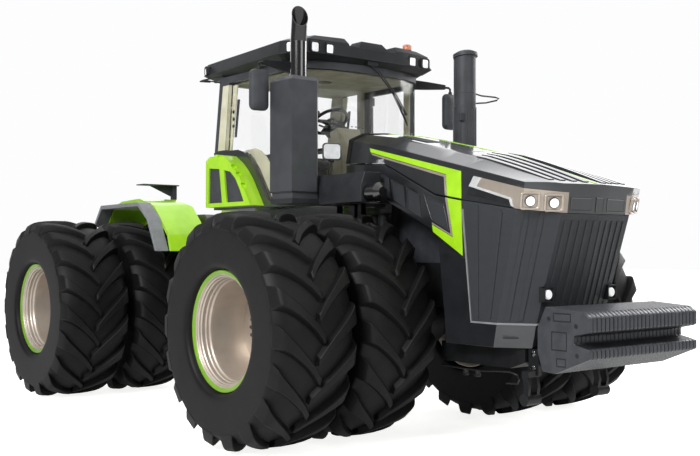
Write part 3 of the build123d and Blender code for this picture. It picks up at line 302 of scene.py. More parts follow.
lip_grey = satin_chassis_paint("light_grey_paint", ("7a7c7f", "888a8d"), 0.4, 10, 0.2)
guard_grey = metallic_lacquer("guard_lacquer", ("3b3d41", "46484d"), 0.3, 0.42, 0.25)
moulding = bright_moulding("bright_moulding")
grip = textured_abs("grip_rubber", ("0a0a0b", "111112"), 0.6, 4.0, 0.5)
roof_abs = textured_abs("roof_shell_abs", ("1b1d20", "232528"), 0.42)
# a lighter copy of the beige trim: painted light for the lower trim seen through the side glass
painted_lit_trim = textured_abs("lower_trim_painted_light", ("b6b39c", "c2bfa8"), 0.6)
mesh_grille = perforated_grille("perforated_mesh")
glass = cab_glass("tinted_cab_glass")
lens = lamp_polycarbonate("clear_lamp_lens", ("e6e8ea", "fbfcfd"), 0.35)
amber = lamp_polycarbonate("amber_lens", ("b4541c", "cf6a26"), 0.05)
chrome = turned_chrome("hard_chrome")
cloth = woven_seat_cloth("seat_cloth")

slot_finish = {
    "graphite_paint": graphite, "green_paint": lime, "rim_paint": champagne,
    "tyre_rubber": rubber, "cast_grey": casting, "chassis_black": chassis,
    "dark_plastic": dark_abs, "grille_plastic": mesh_grille, "deck_grey": deck_paint,
    "trim_beige": trim_abs, "glass": glass, "lamp_lens": lens, "bezel": pearl_bezel,
    "amber_lens": amber, "steel_rod": chrome, "black_pipe": black_heat,
    "seat_fabric": cloth, "soft_rubber": grip,
}
for part in frame["record"]["subparts"]:
    carried = nodes[part["node"]]
    for place in carried.material_slots:
        place.material = slot_finish[part["material_slot"]]
# these four differ from the rest of their slot
for name, mat in (("fender_lips", lip_grey), ("cab_roof", roof_abs),
                  ("air_reservoir", black_heat), ("exhaust_guard", guard_grey)):
    for place in nodes[name].material_slots:
        place.material = mat


# ------------------------------------------------------------------ making pieces
def new_piece(name, points, faces, mat, body):
    """Mesh piece from layout points, riding on a body."""
    mesh = bpy.data.meshes.new(name)
    mesh.from_pydata([at(*p) for p in points], [], faces)
    mesh.materials.append(mat)
    piece = bpy.data.objects.new(name, mesh)
    bpy.context.collection.objects.link(piece)
    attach(piece, body)
    return piece


def shade(piece, smooth):
    """Shades every face smooth, or every face flat."""
    for face in piece.data.polygons:
        face.use_smooth = smooth


def tidy_normals(piece):
    """Turns every face outward."""
    bm = bmesh.new()
    bm.from_mesh(piece.data)
    bmesh.ops.recalc_face_normals(bm, faces=bm.faces)
    bm.to_mesh(piece.data)
    bm.free()


def eased(piece, width_mm, segments, angle):
    """Rounds the piece's sharp edges and shades it smooth between them."""
    ease = piece.modifiers.new("eased_edges", "BEVEL")
    ease.width = width_mm / 1000
    ease.segments = segments
    ease.limit_method = "ANGLE"
    ease.angle_limit = math.radians(angle)
    weighted = piece.modifiers.new("even_shading", "WEIGHTED_NORMAL")
    weighted.keep_sharp = False
    shade(piece, True)


def turns(count):
    """Angles that share a full turn evenly."""
    return [2 * math.pi * k / count for k in range(count)]


class Shape:
    """Collects points and faces of one piece."""

    def __init__(self):
        self.points, self.faces = [], []

    def ring_loft(self, rings, caps=True):
        """Skin over closed rings of equal length, with end caps or left open."""
        base, n = len(self.points), len(rings[0])
        for ring in rings:
            self.points += [tuple(p) for p in ring]
        for i in range(len(rings) - 1):
            for j in range(n):
                a, b = base + i * n + j, base + i * n + (j + 1) % n
                self.faces.append((a, b, b + n, a + n))
        if caps:
            self.faces.append(tuple(base + j for j in reversed(range(n))))
            last = base + (len(rings) - 1) * n
            self.faces.append(tuple(last + j for j in range(n)))

    def prism(self, outline, shift):
        """Solid between an outline and the same outline shifted."""
        far = [tuple(a + b for a, b in zip(p, shift)) for p in outline]
        self.ring_loft([outline, far])

    def plate(self, outline, y, thickness):
        """Solid of an upright (x, z) outline, from one y through a thickness."""
        self.prism([(x, y, z) for x, z in outline], (0, thickness, 0))

    def box(self, low, high):
        """Square block between two corners."""
        (a, b, c), (d, e, f) = low, high
        self.prism([(a, b, c), (d, b, c), (d, e, c), (a, e, c)], (0, 0, f - c))

    def chain_skin(self, chains):
        """Skin over open chains of points that close on the first chain again."""
        for near, far in zip(chains, chains[1:] + chains[:1]):
            base, n = len(self.points), len(near)
            self.points += near + far
            self.faces += [(base + i, base + i + 1, base + n + i + 1, base + n + i)
                           for i in range(n - 1)]

    def round_skin(self, sections):
        """Skin over closed sections that stand in a circle."""
        base, count, n = len(self.points), len(sections), len(sections[0])
        for section in sections:
            self.points += section
        for i in range(count):
            k = (i + 1) % count
            for j in range(n):
                m = (j + 1) % n
                self.faces.append((base + i * n + j, base + i * n + m, base + k * n + m,
                                   base + k * n + j))

    def spun(self, profile, centre, segments):
        """Turned form round an axis along Y: closed profile of (y, radius)."""
        x0, z0 = centre
        self.round_skin([[(x0 + r * math.cos(a), y, z0 + r * math.sin(a)) for y, r in profile]
                         for a in turns(segments)])

    def collar(self, centre, axis, inner, outer, depth):
        """Round collar with a chamfered front, about an axis."""
        side = axis.orthogonal().normalized()
        up = axis.cross(side)
        section = ((inner, -depth / 2), (outer, -depth / 2), (outer, depth / 2 - 4),
                   (outer - 4, depth / 2), (inner, depth / 2 - 2))
        ways = [math.cos(t) * side + math.sin(t) * up for t in turns(32)]
        self.round_skin([[tuple(centre + way * r + axis * d) for r, d in section]
                         for way in ways])

    def tube(self, path, radius, sides=12):
        """Round bar along a path of points, with flat ends."""
        path = [Vector(p) for p in path]
        rings = []
        for i, p in enumerate(path):
            ahead = (path[min(i + 1, len(path) - 1)] - path[max(i - 1, 0)]).normalized()
            side = ahead.cross(Vector((0, 0, 1)))
            if side.length < 0.05:
                side = ahead.cross(Vector((0, 1, 0)))
            side.normalize()
            up = side.cross(ahead)
            rings.append([tuple(p + radius * (math.cos(t) * side + math.sin(t) * up))
                          for t in turns(sides)])
        self.ring_loft(rings)

    def rod(self, centre, axis, radius, length, sides=24, chamfer=0.0):
        """Round bar about a centre along an axis, with chamfered ends."""
        axis = Vector(axis).normalized()
        start = Vector(centre) - axis * length / 2
        side = axis.orthogonal().normalized()
        up = axis.cross(side)
        stations = [(0, radius - chamfer), (chamfer, radius), (length - chamfer, radius),
                    (length, radius - chamfer)] if chamfer else [(0, radius), (length, radius)]
        self.ring_loft([[tuple(start + axis * s + r * (math.cos(t) * side + math.sin(t) * up))
                         for t in turns(sides)] for s, r in stations])

    def make(self, name, mat, body, ease=0.0, segments=2, angle=32):
        """The finished piece: edges eased by that many millimetres, or sharp and flat at 0."""
        piece = new_piece(name, self.points, self.faces, mat, body)
        tidy_normals(piece)
        if ease:
            eased(piece, ease, segments, angle)
        else:
            shade(piece, False)
        return piece


def rounded(w, h, radius, steps=4):
    """Outline of a rounded rectangle about the origin."""
    out = []
    for cx, cy, a0 in ((w - radius, h - radius, 0), (radius - w, h - radius, 90),
                       (radius - w, radius - h, 180), (w - radius, radius - h, 270)):
        for k in range(steps + 1):
            a = math.radians(a0 + 90 * k / steps)
            out.append((cx + radius * math.cos(a), cy + radius * math.sin(a)))
    return out


def facing(centre, axis):
    """Turns flat (across, up) places and a depth into a point of a plane that looks along axis."""
    axis = Vector(axis).normalized()
    across = Vector((0, 0, 1)).cross(axis).normalized()
    up = axis.cross(across)
    centre = Vector(centre)

    def place(u, v, d):
        return tuple(centre + across * u + up * v + axis * d)

    return place


def rounded_rings(place, sizes):
    """Rounded rectangles of (half width, half height, corner radius, depth) in a plane."""
    return [[place(u, v, d) for u, v in rounded(w, h, r)] for w, h, r, d in sizes]


def inset_corners(a0, a1, b0, b1, inset):
    """Corners of an upright rectangle, drawn in by an inset."""
    return ((a0 + inset, b0 + inset), (a1 - inset, b0 + inset), (a1 - inset, b1 - inset),
            (a0 + inset, b1 - inset))


def turn_of(points, centre, angle):
    """Layout points turned about an axis along Y."""
    x0, z0 = centre
    c, s = math.cos(angle), math.sin(angle)
    return [(x0 + (x - x0) * c - (z - z0) * s, y, z0 + (x - x0) * s + (z - z0) * c)
            for x, y, z in points]


# ------------------------------------------------------------------ wheels
TYRE_RADIUS = 1042
TYRE_HALF = 399
INNER_Y, OUTER_Y = 1015, 1906
LUGS = 18


def carcass_profile():
    """Half section of the tyre's casing as (offset from its middle, radius)."""
    return [(0, 986), (120, 984), (230, 974), (300, 958), (350, 932), (384, 903), (397, 887),
            (398, 878), (397, 840), (396, 780), (394, 720), (392, 660), (390, 610), (388, 582),
            (383, 562), (371, 549), (352, 541), (334, 536), (324, 531), (318, 515), (316, 484)]


def lug_line(a):
    """How far a lug trails at a share of the half width, in radians."""
    sweep = 0.37
    return sweep * (a ** 0.82) if a > 0 else sweep * a


def lug_rings(sign, middle):
    """Cross rings of one tread bar at angle 0, from its nose over the shoulder to the side."""
    stations = [  # share of half width, top radius, half width along the tread, floor radius
        (-0.07, 1030, 30, 972), (-0.03, TYRE_RADIUS - 1, 36, 972), (0.15, TYRE_RADIUS - 1, 38, 972),
        (0.35, 1040, 42, 970), (0.55, 1036, 49, 962), (0.72, 1029, 58, 946), (0.84, 1018, 68, 926),
        (0.905, 1002, 77, 906), (0.935, 984, 82, 896), (0.975, 934, 88, 884), (0.997, 892, 90, 876)]
    rings = []
    for a, top, half, floor in stations:
        y = middle + sign * a * TYRE_HALF
        mid = lug_line(a)
        inner = min(floor, top - 12)
        y_floor = y if a < 0.99 else middle + sign * 0.985 * TYRE_HALF
        ring = []
        for radius, width, across in ((inner, half + 22, y_floor), (top - 10, half + 4, y),
                                      (top, half - 6, y), (top, -half + 6, y),
                                      (top - 10, -half - 4, y), (inner, -half - 22, y_floor)):
            angle = mid + width / radius
            ring.append((radius * math.cos(angle), across, radius * math.sin(angle)))
        rings.append(ring)
    return rings


def farm_tyre(shape_tread, shape_casing, middle, side, axle_x):
    """Casing of revolution, and tread bars in a staggered chevron with its point leading."""
    half = carcass_profile()
    profile = [(middle + y, r) for y, r in reversed(half)] + \
        [(middle - y, r) for y, r in half[1:]] + \
        [(middle - 300, 500), (middle - 310, 560), (middle - 345, 700), (middle - 350, 850),
         (middle - 300, 925), (middle, 950), (middle + 300, 925), (middle + 350, 850),
         (middle + 345, 700), (middle + 310, 560), (middle + 300, 500)]
    shape_casing.spun([(side * y, r) for y, r in profile], (axle_x, AXLE_Z), 96)
    for sign in (1, -1):
        rings = lug_rings(sign, middle)
        for k in range(LUGS):
            turn = 2 * math.pi * (k + (0.5 if sign < 0 else 0)) / LUGS
            turned = []
            for ring in rings:
                placed = [(axle_x + x, side * y, AXLE_Z + z) for x, y, z in ring]
                turned.append(turn_of(placed, (axle_x, AXLE_Z), turn))
            shape_tread.ring_loft(turned)


def tyre_pair(name, side, axle_x):
    """Both tyres of one wheel set."""
    casing, tread = Shape(), Shape()
    for middle in (INNER_Y, OUTER_Y):
        farm_tyre(tread, casing, middle, side, axle_x)
    body = f"{name}_wheels"
    casing = casing.make(f"{name}_casings", rubber, body)
    shade(casing, True)
    bars = tread.make(f"{name}_tread_bars", rubber, body, ease=7, segments=2, angle=28)
    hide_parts(f"{name}_tyres")


OUTER_DISC_Y, INNER_DISC_Y = 1780, 1190
HUB_RADIUS = 255
RIM_SEAT = 417  # radius at which the disc meets the rim
NUTS, NUT_CIRCLE = 20, 225
COVER_BOLTS, BOLT_CIRCLE = 12, 178


def rim_form(shape, middle, disc_y, side, axle_x):
    """Rolled wheel rim: gutters and humps down to a plain drop, with a pressed disc."""
    outside = [(-335, 512), (-335, 524), (-330, 528), (-324, 526), (-323.5, 484), (-190, 483.5),
               (-150, 438.5), (150, 438.5), (190, 483.5), (323.5, 484), (324, 500)]
    inside = [(323, 487), (316, 480), (306, 478), (300, 467), (284, 465), (276, 456), (246, 454),
              (236, 446), (214, 443), (200, 433), (170, 428), (-150, 414), (-190, 452),
              (-246, 458), (-256, 467), (-296, 470), (-302, 478), (-323, 486)]
    shape.spun([(side * (middle + y), r) for y, r in outside + inside], (axle_x, AXLE_Z), 96)
    disc = [(disc_y + 12, HUB_RADIUS - 60), (disc_y + 12, 285), (disc_y + 4, 315),
            (disc_y - 10, 360), (disc_y - 12, RIM_SEAT), (disc_y - 30, RIM_SEAT),
            (disc_y - 28, 350), (disc_y - 14, 300), (disc_y - 12, HUB_RADIUS - 60)]
    shape.spun([(side * y, r) for y, r in disc], (axle_x, AXLE_Z), 72)


def flange_ring(shape, middle, side, axle_x):
    """Outer lip of the rim, in lime darkened as painted shade."""
    lip = [(324, 501), (325, 526), (328, 529), (334, 529), (338, 522), (338, 512), (332, 503),
           (328, 494), (323, 488)]
    shape.spun([(side * (middle + y), r) for y, r in lip], (axle_x, AXLE_Z), 96)


def wheel_nuts(shape, disc_y, side, axle_x):
    """Chamfered nuts on washers round the hub."""
    for a in turns(NUTS):
        x, z = axle_x + NUT_CIRCLE * math.cos(a), AXLE_Z + NUT_CIRCLE * math.sin(a)
        shape.rod((x, side * (disc_y + 26), z), (0, side, 0), 17, 30, 6, 4)
        shape.rod((x, side * (disc_y + 14), z), (0, side, 0), 24, 5, 16)


def hub_cover(shape, side, axle_x):
    """Planetary hub cover: stepped casting with a flat end and a ring of bolts."""
    y0 = OUTER_DISC_Y + 12
    cover = [(y0, 0), (y0, 192), (y0 + 10, 196), (y0 + 34, 190), (y0 + 40, 168), (y0 + 52, 160),
             (y0 + 58, 146), (y0 + 58, 120), (y0 + 60, 0)]
    shape.spun([(side * y, max(r, 0.5)) for y, r in cover], (axle_x, AXLE_Z), 48)
    for a in turns(COVER_BOLTS):
        x, z = axle_x + BOLT_CIRCLE * math.cos(a), AXLE_Z + BOLT_CIRCLE * math.sin(a)
        shape.rod((x, side * (y0 + 42), z), (0, side, 0), 9, 14, 6, 2)


def wheel_set(name, side, axle_x):
    """Rims, green flange rings, nuts and hub cover of one wheel set."""
    body = f"{name}_wheels"
    rims, rings, nuts = Shape(), Shape(), Shape()
    for middle, disc_y in ((INNER_Y, INNER_DISC_Y), (OUTER_Y, OUTER_DISC_Y)):
        rim_form(rims, middle, disc_y, side, axle_x)
        flange_ring(rings, middle, side, axle_x)
    wheel_nuts(nuts, OUTER_DISC_Y, side, axle_x)
    hub_cover(nuts, side, axle_x)
    rims = rims.make(f"{name}_rolled_rims", champagne, body, ease=2, segments=1, angle=25)
    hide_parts(f"{name}_rims")
    rings = rings.make(f"{name}_flange_rings", lime_painted_shade, body, ease=1.5, segments=1, angle=25)
    nuts.make(f"{name}_wheel_nuts", casting, body, ease=1, segments=1)


for end, axle_x in (("front", AXLE_X), ("rear", -AXLE_X)):
    for hand, side in (("left", 1), ("right", -1)):
        tyre_pair(f"{end}_{hand}", side, axle_x)
        wheel_set(f"{end}_{hand}", side, axle_x)


# ------------------------------------------------------------------ hood and its stripes
# columns: x, foot y, foot z, shoulder y, shoulder z, crown y, crown z, ridge z
HOOD_TABLE = [
    (1620, 500, 2610, 460, 2850, 300, 2925, 2950),
    (2300, 572, 2575, 530, 2735, 360, 2825, 2862),
    (3140, 655, 2240, 612, 2545, 420, 2635, 2680),
    (3540, 695, 2170, 665, 2458, 450, 2548, 2585),
    (4500, 740, 2032, 770, 2240, 520, 2262, 2278),
]


def hood_row(x):
    """Hood section sizes at one x."""
    for near, far in zip(HOOD_TABLE, HOOD_TABLE[1:]):
        if x <= far[0]:
            break
    share = (x - near[0]) / (far[0] - near[0])
    return [a + (b - a) * share for a, b in zip(near, far)]


def flank(x, z, lift=0.0):
    """Half width of the hood's side, or of the fixed panel under it, at one place."""
    _, foot_y, foot_z, shoulder_y, shoulder_z, *_ = hood_row(x)
    if z <= foot_z:
        return foot_y + lift
    return foot_y + (shoulder_y - foot_y) * (z - foot_z) / (shoulder_z - foot_z) + lift


def crown(x, y, lift=0.0):
    """Height of the hood's top at one place."""
    _, _, _, shoulder_y, shoulder_z, crown_y, crown_z, ridge_z = hood_row(x)
    y = abs(y)
    if y <= crown_y:
        return ridge_z + (crown_z - ridge_z) * y / crown_y + lift
    return crown_z + (shoulder_z - crown_z) * (y - crown_y) / (shoulder_y - crown_y) + lift


def spread(corners, count):
    """Points spaced evenly along a chain of corners."""
    spans = [math.dist(a, b) for a, b in zip(corners, corners[1:])]
    total, out = sum(spans), []
    for i in range(count):
        left = total * i / (count - 1)
        for a, b, span in zip(corners, corners[1:], spans):
            if left <= span + 1e-6:
                break
            left -= span
        out.append([p + (q - p) * left / span for p, q in zip(a, b)])
    return out


def flank_band(shape, upper, lower, side, lift=3.0, count=14, sink=-2.0):
    """Thin band on the hood's flank between two chains of (x, z) corners."""
    rings = []
    for (xa, za), (xb, zb) in zip(spread(upper, count), spread(lower, count)):
        rings.append([(xa, side * flank(xa, za, lift), za), (xb, side * flank(xb, zb, lift), zb),
                      (xb, side * flank(xb, zb, sink), zb), (xa, side * flank(xa, za, sink), za)])
    shape.ring_loft(rings)


def crown_band(shape, left, right, lift=3.0, count=14):
    """Thin band on the hood's top between two chains of (x, y) corners."""
    rings = []
    for (xa, ya), (xb, yb) in zip(spread(left, count), spread(right, count)):
        rings.append([(xa, ya, crown(xa, ya, lift)), (xb, yb, crown(xb, yb, lift)),
                      (xb, yb, crown(xb, yb, -2)), (xa, ya, crown(xa, ya, -2))])
    shape.ring_loft(rings)


def hood_stripes():
    """The lime V on each flank with its champagne line, and the lime line along the ridge."""
    lid_lime, lid_line, low_lime, low_line = Shape(), Shape(), Shape(), Shape()
    # outer and inner corners of each stripe, in order from its end to its end
    chains = (
        (lid_lime, ((2021, 2738), (3484, 2421), (3517, 2182)),
         ((2050, 2694), (3272, 2405), (3314, 2214))),
        (low_lime, ((3517, 2164), (3536, 1690), (3108, 1902)),
         ((3316, 2196), (3402, 1849), (3094, 1966))),
        (lid_line, ((2056, 2686), (3266, 2401), (3308, 2216)),
         ((2090, 2664), (3243, 2384), (3283, 2221))),
        (low_line, ((3311, 2197), (3396, 1856), (3094, 1972)),
         ((3286, 2201), (3366, 1880), (3092, 1986))))
    for side in (1, -1):
        for shape, outer, inner in chains:
            for i in range(2):
                flank_band(shape, outer[i:i + 2], inner[i:i + 2], side)
    crown_band(lid_lime, [(1700, -20), (4440, -48)], [(1700, 14), (4440, -12)], 3.0, 40)
    for shape, name, mat, body in ((lid_lime, "hood_lime_v", lime, "hood_lid"),
                                   (lid_line, "hood_champagne_line", pearl_bezel, "hood_lid"),
                                   (low_lime, "side_lime_v", lime, "front_body"),
                                   (low_line, "side_champagne_line", pearl_bezel, "front_body")):
        shape.make(name, mat, body, ease=1, segments=1)


def hood_top_ribs():
    """Pressed ribs on the front of the hood's top, four a side, and two dark intakes."""
    ribs = Shape()
    for side in (1, -1):
        for k in range(4):
            y = 105 + 108 * k
            rear, front = 3330 + 45 * k, 4410 - 24 * k
            rings = []
            for i in range(17):
                share = i / 16
                x, mid = rear + (front - rear) * share, y * (1 + 0.08 * share)
                lift = 7 + 15 * math.sin(math.pi * share) * (1 - k / 5)
                rings.append([(x, side * (mid - 31), crown(x, mid - 31, lift)),
                              (x, side * (mid + 31), crown(x, mid + 31, lift)),
                              (x, side * (mid + 34), crown(x, mid + 34, -2)),
                              (x, side * (mid - 34), crown(x, mid - 34, -2))])
            ribs.ring_loft(rings)
    ribs.make("hood_top_ribs", graphite, "hood_lid", ease=3, segments=2)
    vents = Shape()
    for side in (1, -1):
        crown_band(vents, [(2150, side * 150), (2650, side * 150)],
                   [(2180, side * 290), (2620, side * 290)], 6.0, 8)
    vents.make("hood_top_vents", black_abs, "hood_lid", ease=3, segments=2)


def hood_seal():
    """Black rubber seal round the lid's rear edge, against the cab."""
    seal = Shape()
    chains = []
    for x, lift in ((1626, 2), (1626, 8), (1690, 8), (1690, 2)):
        _, foot_y, foot_z, shoulder_y, shoulder_z, crown_y, crown_z, ridge_z = hood_row(x)
        half = [(foot_y + lift, foot_z + 4), (shoulder_y + lift, shoulder_z + lift),
                (crown_y, crown_z + lift), (0, ridge_z + lift)]
        chains.append([(x, y, z) for y, z in half] + [(x, -y, z) for y, z in half[-2::-1]])
    seal.chain_skin(chains)
    seal.make("hood_rear_seal", grip, "hood_lid")


def lid_gap_seal():
    """Dark rubber strip inside the gap between the lid and the fixed side panels."""
    strip = Shape()
    for side in (1, -1):
        line = [(1640, 2602), (2300, 2567), (3130, 2232), (3530, 2162)]
        flank_band(strip, [(x, z + 4) for x, z in line], [(x, z - 34) for x, z in line], side,
                   -28.0, 24, -36.0)
    strip.make("lid_gap_seal", black_abs, "front_body")


def side_bays():
    """Mesh in the sunk bays of the fixed side panel, each in a thin raised frame."""
    meshes, frames = Shape(), Shape()
    for side in (1, -1):
        for x in (2190, 2440, 2690):
            top, low = 2500 - (x - 2190) * 0.37, 2318 - (x - 2190) * 0.386
            bay(meshes, frames, side, (x, top), (x + 210, top - 78), (x + 240, low - 93),
                (x + 30, low))
        bay(meshes, frames, side, (2965, 2240), (3262, 2150), (3345, 1905), (3085, 2010))
    meshes.make("side_bay_mesh", mesh_grille, "front_body", ease=1, segments=1)
    frames.make("side_bay_frames", graphite, "front_body", ease=2, segments=1)


def bay(meshes, frames, side, a, b, c, d):
    """Mesh field between four corners, top rear first and then round by the front."""
    corners = [a, b, c, d]
    flank_band(meshes, [a, b], [d, c], side, -4.0, 4, -9.0)
    mid = [sum(v) / 4 for v in zip(*corners)]
    inner = [(mid[0] + (x - mid[0]) * 0.93, mid[1] + (z - mid[1]) * 0.93) for x, z in corners]
    for i in range(4):
        j = (i + 1) % 4
        flank_band(frames, [corners[i], corners[j]], [inner[i], inner[j]], side, 4.0, 3)


hood_stripes()
hood_top_ribs()
hood_seal()
lid_gap_seal()
side_bays()


# ------------------------------------------------------------------ nose
NOSE_LOW = [(3540, 600), (3850, 600), (4140, 430), (4200, 0)]
NOSE_HIGH = [(3540, 719), (4242, 736), (4472, 442), (4503, 0)]
NOSE_LOW_Z, NOSE_HIGH_Z = 1120, 2200


def nose(s, t, side, lift=0.0):
    """Place on the nose: s runs from the rear of the flank to the middle, t from low to high."""
    i = min(int(s), 2)
    share = s - i

    def spot(table):
        (xa, ya), (xb, yb) = table[i], table[i + 1]
        return Vector((xa + (xb - xa) * share, ya + (yb - ya) * share, 0))

    low, high = spot(NOSE_LOW), spot(NOSE_HIGH)
    low.z, high.z = NOSE_LOW_Z, NOSE_HIGH_Z
    (xa, ya), (xb, yb) = NOSE_LOW[i], NOSE_LOW[i + 1]
    along = Vector((xb - xa, yb - ya, 0))
    out = (high - low).cross(along)
    if out.x + out.y < 0:
        out = -out
    p = low + (high - low) * t + out.normalized() * lift
    return (p.x, side * p.y, p.z)


def nose_strip(shape, s0, s1, t0, t1, side, lift, steps=6):
    """Raised strip up the nose."""
    sink = -3.0
    rings = []
    for k in range(steps + 1):
        t = t0 + (t1 - t0) * k / steps
        rings.append([nose(s0, t, side, lift), nose(s1, t, side, lift),
                      nose(s1, t, side, sink), nose(s0, t, side, sink)])
    shape.ring_loft(rings)


def nose_ribs():
    """Raised upright fields on the grille, and a raised bead along its rear and lower edge, painted
    pale as the highlight these edges catch.
    """
    ribs, bead = Shape(), Shape()
    for side in (1, -1):
        for s0, s1, low, high in ((0.20, 0.31, 0.04, 0.92), (0.64, 0.76, 0.04, 0.86),
                                  (1.19, 1.31, 0.03, 0.80), (1.52, 1.64, 0.03, 0.80)):
            nose_strip(ribs, s0, s1, low, high, side, 8.0)
        for k in range(5):
            s = 3 - (k + 0.5) / 5.3
            nose_strip(ribs, s - 0.034, s + 0.034, 0.04 if k < 3 else 0.34, 0.80, side, 8.0)
        # the bead along the rear and lower edges is pale grey: a painted highlight on these edges
        nose_strip(bead, 0.0, 0.035, 0.0, 0.90, side, 9.0)
        for s0, s1 in ((0.0, 1.0), (1.0, 2.0), (2.0, 2.999)):
            nose_strip(bead, s0, s1, -0.004, 0.010, side, 9.0, steps=1)
    ribs.make("nose_ribs", mesh_grille, "front_body", ease=2.5, segments=2)
    bead.make("nose_edge_painted_highlight", lip_grey, "front_body", ease=2)


def fog_lamp_units():
    """Square lamp pods with a chamfered hood and a round lens, low on the nose."""
    pods, lenses = Shape(), Shape()
    for side in (1, -1):
        x, y, z = 4238, side * 407, 1376
        pods.prism([(x - 40, y - 58, z - 66), (x - 40, y + 58, z - 66), (x - 40, y + 58, z + 62),
                    (x - 40, y - 58, z + 62)], (34, 0, 0))
        for a, b, c, d in ((-58, -46, -66, 62), (46, 58, -66, 62), (-58, 58, -66, -54),
                           (-58, 58, 50, 62)):
            pods.box((x - 10, y + a, z + c), (x + 26, y + b, z + d))
        lenses.rod((x + 10, y, z - 2), (1, 0, 0), 40, 30, 32, 6)
    pods.make("fog_lamp_pods", black_abs, "front_body", ease=3)
    piece = lenses.make("fog_lamp_lenses", lens, "front_body", ease=1)
    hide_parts("fog_lamps")


def lamp_axis(side):
    """Way the two headlamps of one side look."""
    turn, dip = math.radians(29), math.radians(12)
    return Vector((math.cos(dip) * math.cos(turn), side * math.cos(dip) * math.sin(turn),
                   -math.sin(dip)))


def headlamp_units():
    """Two round lamps a side, each in a raised square pocket of the champagne cluster."""
    pockets, collars, lamps = Shape(), Shape(), Shape()
    for side in (1, -1):
        out = lamp_axis(side)
        for x, y, z in ((4304, 682, 2134), (4401, 506, 2120)):
            centre = Vector((x, side * y, z)) + out * 9
            rings = rounded_rings(facing(centre, out), [
                (half, half * 0.86, 22 * half / 84, depth) for half, depth in
                ((84, -14), (84, 3), (78, 8), (72, 8), (60, -3), (60, -14))])
            pockets.ring_loft(rings + rings[:1], caps=False)
            collars.collar(centre + out * 3, out, 39, 45, 12)
            lamps.rod(centre + out * 1, out, 40, 16, 32, 4)
    pockets.make("headlamp_pockets", pearl_bezel, "hood_lid", ease=2)
    collars.make("headlamp_collars", dark_abs, "hood_lid", ease=1)
    piece = lamps.make("headlamp_lenses", lens, "hood_lid", ease=1)
    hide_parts("headlight_lenses")


def cluster_trim():
    """Dark window under each lamp strip, and the bright moulding round its upper edge."""
    window, bright = Shape(), Shape()
    for side in (1, -1):
        flank_band(window, [(3622, 2288), (4120, 2156)], [(3590, 2220), (4142, 2100)], side, 5.0)
        flank_band(bright, [(3663, 2369), (3766, 2346)], [(3617, 2299), (3706, 2276)], side, 7.0, 3)
        flank_band(bright, [(3617, 2302), (4128, 2170)], [(3610, 2284), (4120, 2150)], side, 9.0)
        flank_band(bright, [(4114, 2160), (4140, 2166)], [(4138, 2098), (4164, 2090)], side, 9.0, 3)
    window.make("lamp_strip_window", black_abs, "hood_lid", ease=1, segments=1)
    bright.make("lamp_strip_moulding", moulding, "hood_lid", ease=2)


def nose_face(y, z, lift=0.0):
    """Place on the upright front of the lid."""
    share = (z - 1700) / 700
    corner_x, corner_y, middle_x = 4380 + 90 * share, 430 + 30 * share, 4415 + 75 * share
    return (middle_x + (corner_x - middle_x) * abs(y) / corner_y + lift, y, z)


def front_panel(shape, y0, y1, z0, z1, rim, lift=4.0):
    """Flat field with a raised rim on the lid's front."""
    shape.ring_loft([[nose_face(y, z, out) for y, z in inset_corners(y0, y1, z0, z1, inset)]
                     for inset, out in ((0, -6), (0, lift), (rim, lift), (rim + 4, 1))])


def front_panels():
    """Three plain fields across the lid's front: two long ones and a bare plate between."""
    fields = Shape()
    for side in (1, -1):
        y0, y1 = sorted((side * 95, side * 350))
        front_panel(fields, y0, y1, 2058, 2172, 7)
    front_panel(fields, -52, 52, 2050, 2180, 6, 6.0)
    fields.make("lid_front_fields", graphite, "hood_lid", ease=2)


nose_ribs()
fog_lamp_units()
headlamp_units()
cluster_trim()
front_panels()


# ------------------------------------------------------------------ weights and underside
def weight_stack():
    """Hooked iron plates side by side, the outer ones thicker, with bosses on the ends."""
    front = 4918
    outline = [(4478, 1296), (4860, 1271), (front - 12, 1240), (front, 1225), (front, 1125),
               (front - 10, 1115), (4775, 1086), (4765, 1074), (4765, 1030), (4775, 1018),
               (front - 10, 990), (front, 980), (front, 922), (front - 8, 912), (4578, 779),
               (4445, 787), (4395, 937), (4395, 1130)]
    plates = Shape()
    count, stack = 28, 1404
    width = stack / count
    for k in range(count):
        y = width * k - stack / 2
        thick = width - (7 if 0 < k < count - 1 else 4)
        plates.plate(outline, y + 2, thick)
    piece = plates.make("weight_plates", casting, "front_body", ease=7, segments=2)
    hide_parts("front_weights")
    core = Shape()
    # the same outline a little smaller, a black core that paints shade into the gaps between plates
    core.plate([(x + (4650 - x) * 0.04, z + (1040 - z) * 0.06) for x, z in outline], -690, 1380)
    core.make("weight_gap_shade", black_abs, "front_body")
    details = Shape()
    for side in (1, -1):
        for x, z in ((4515, 1205), (4790, 1160), (4800, 935)):
            details.rod((x, side * 699, z), (0, side, 0), 20, 6, 24, 3)
        for x0, x1, z0, z1 in ((4560, 4740, 1185, 1255), (4540, 4700, 960, 1110),
                               (4590, 4690, 835, 905)):
            details.ring_loft([[(x, side * y, z) for x, z in inset_corners(x0, x1, z0, z1, inset)]
                               for inset, y in ((0, 698), (0, 701.5), (9, 701.5), (12, 698.5))])
    details.make("weight_end_details", black_abs, "front_body", ease=1, segments=1)


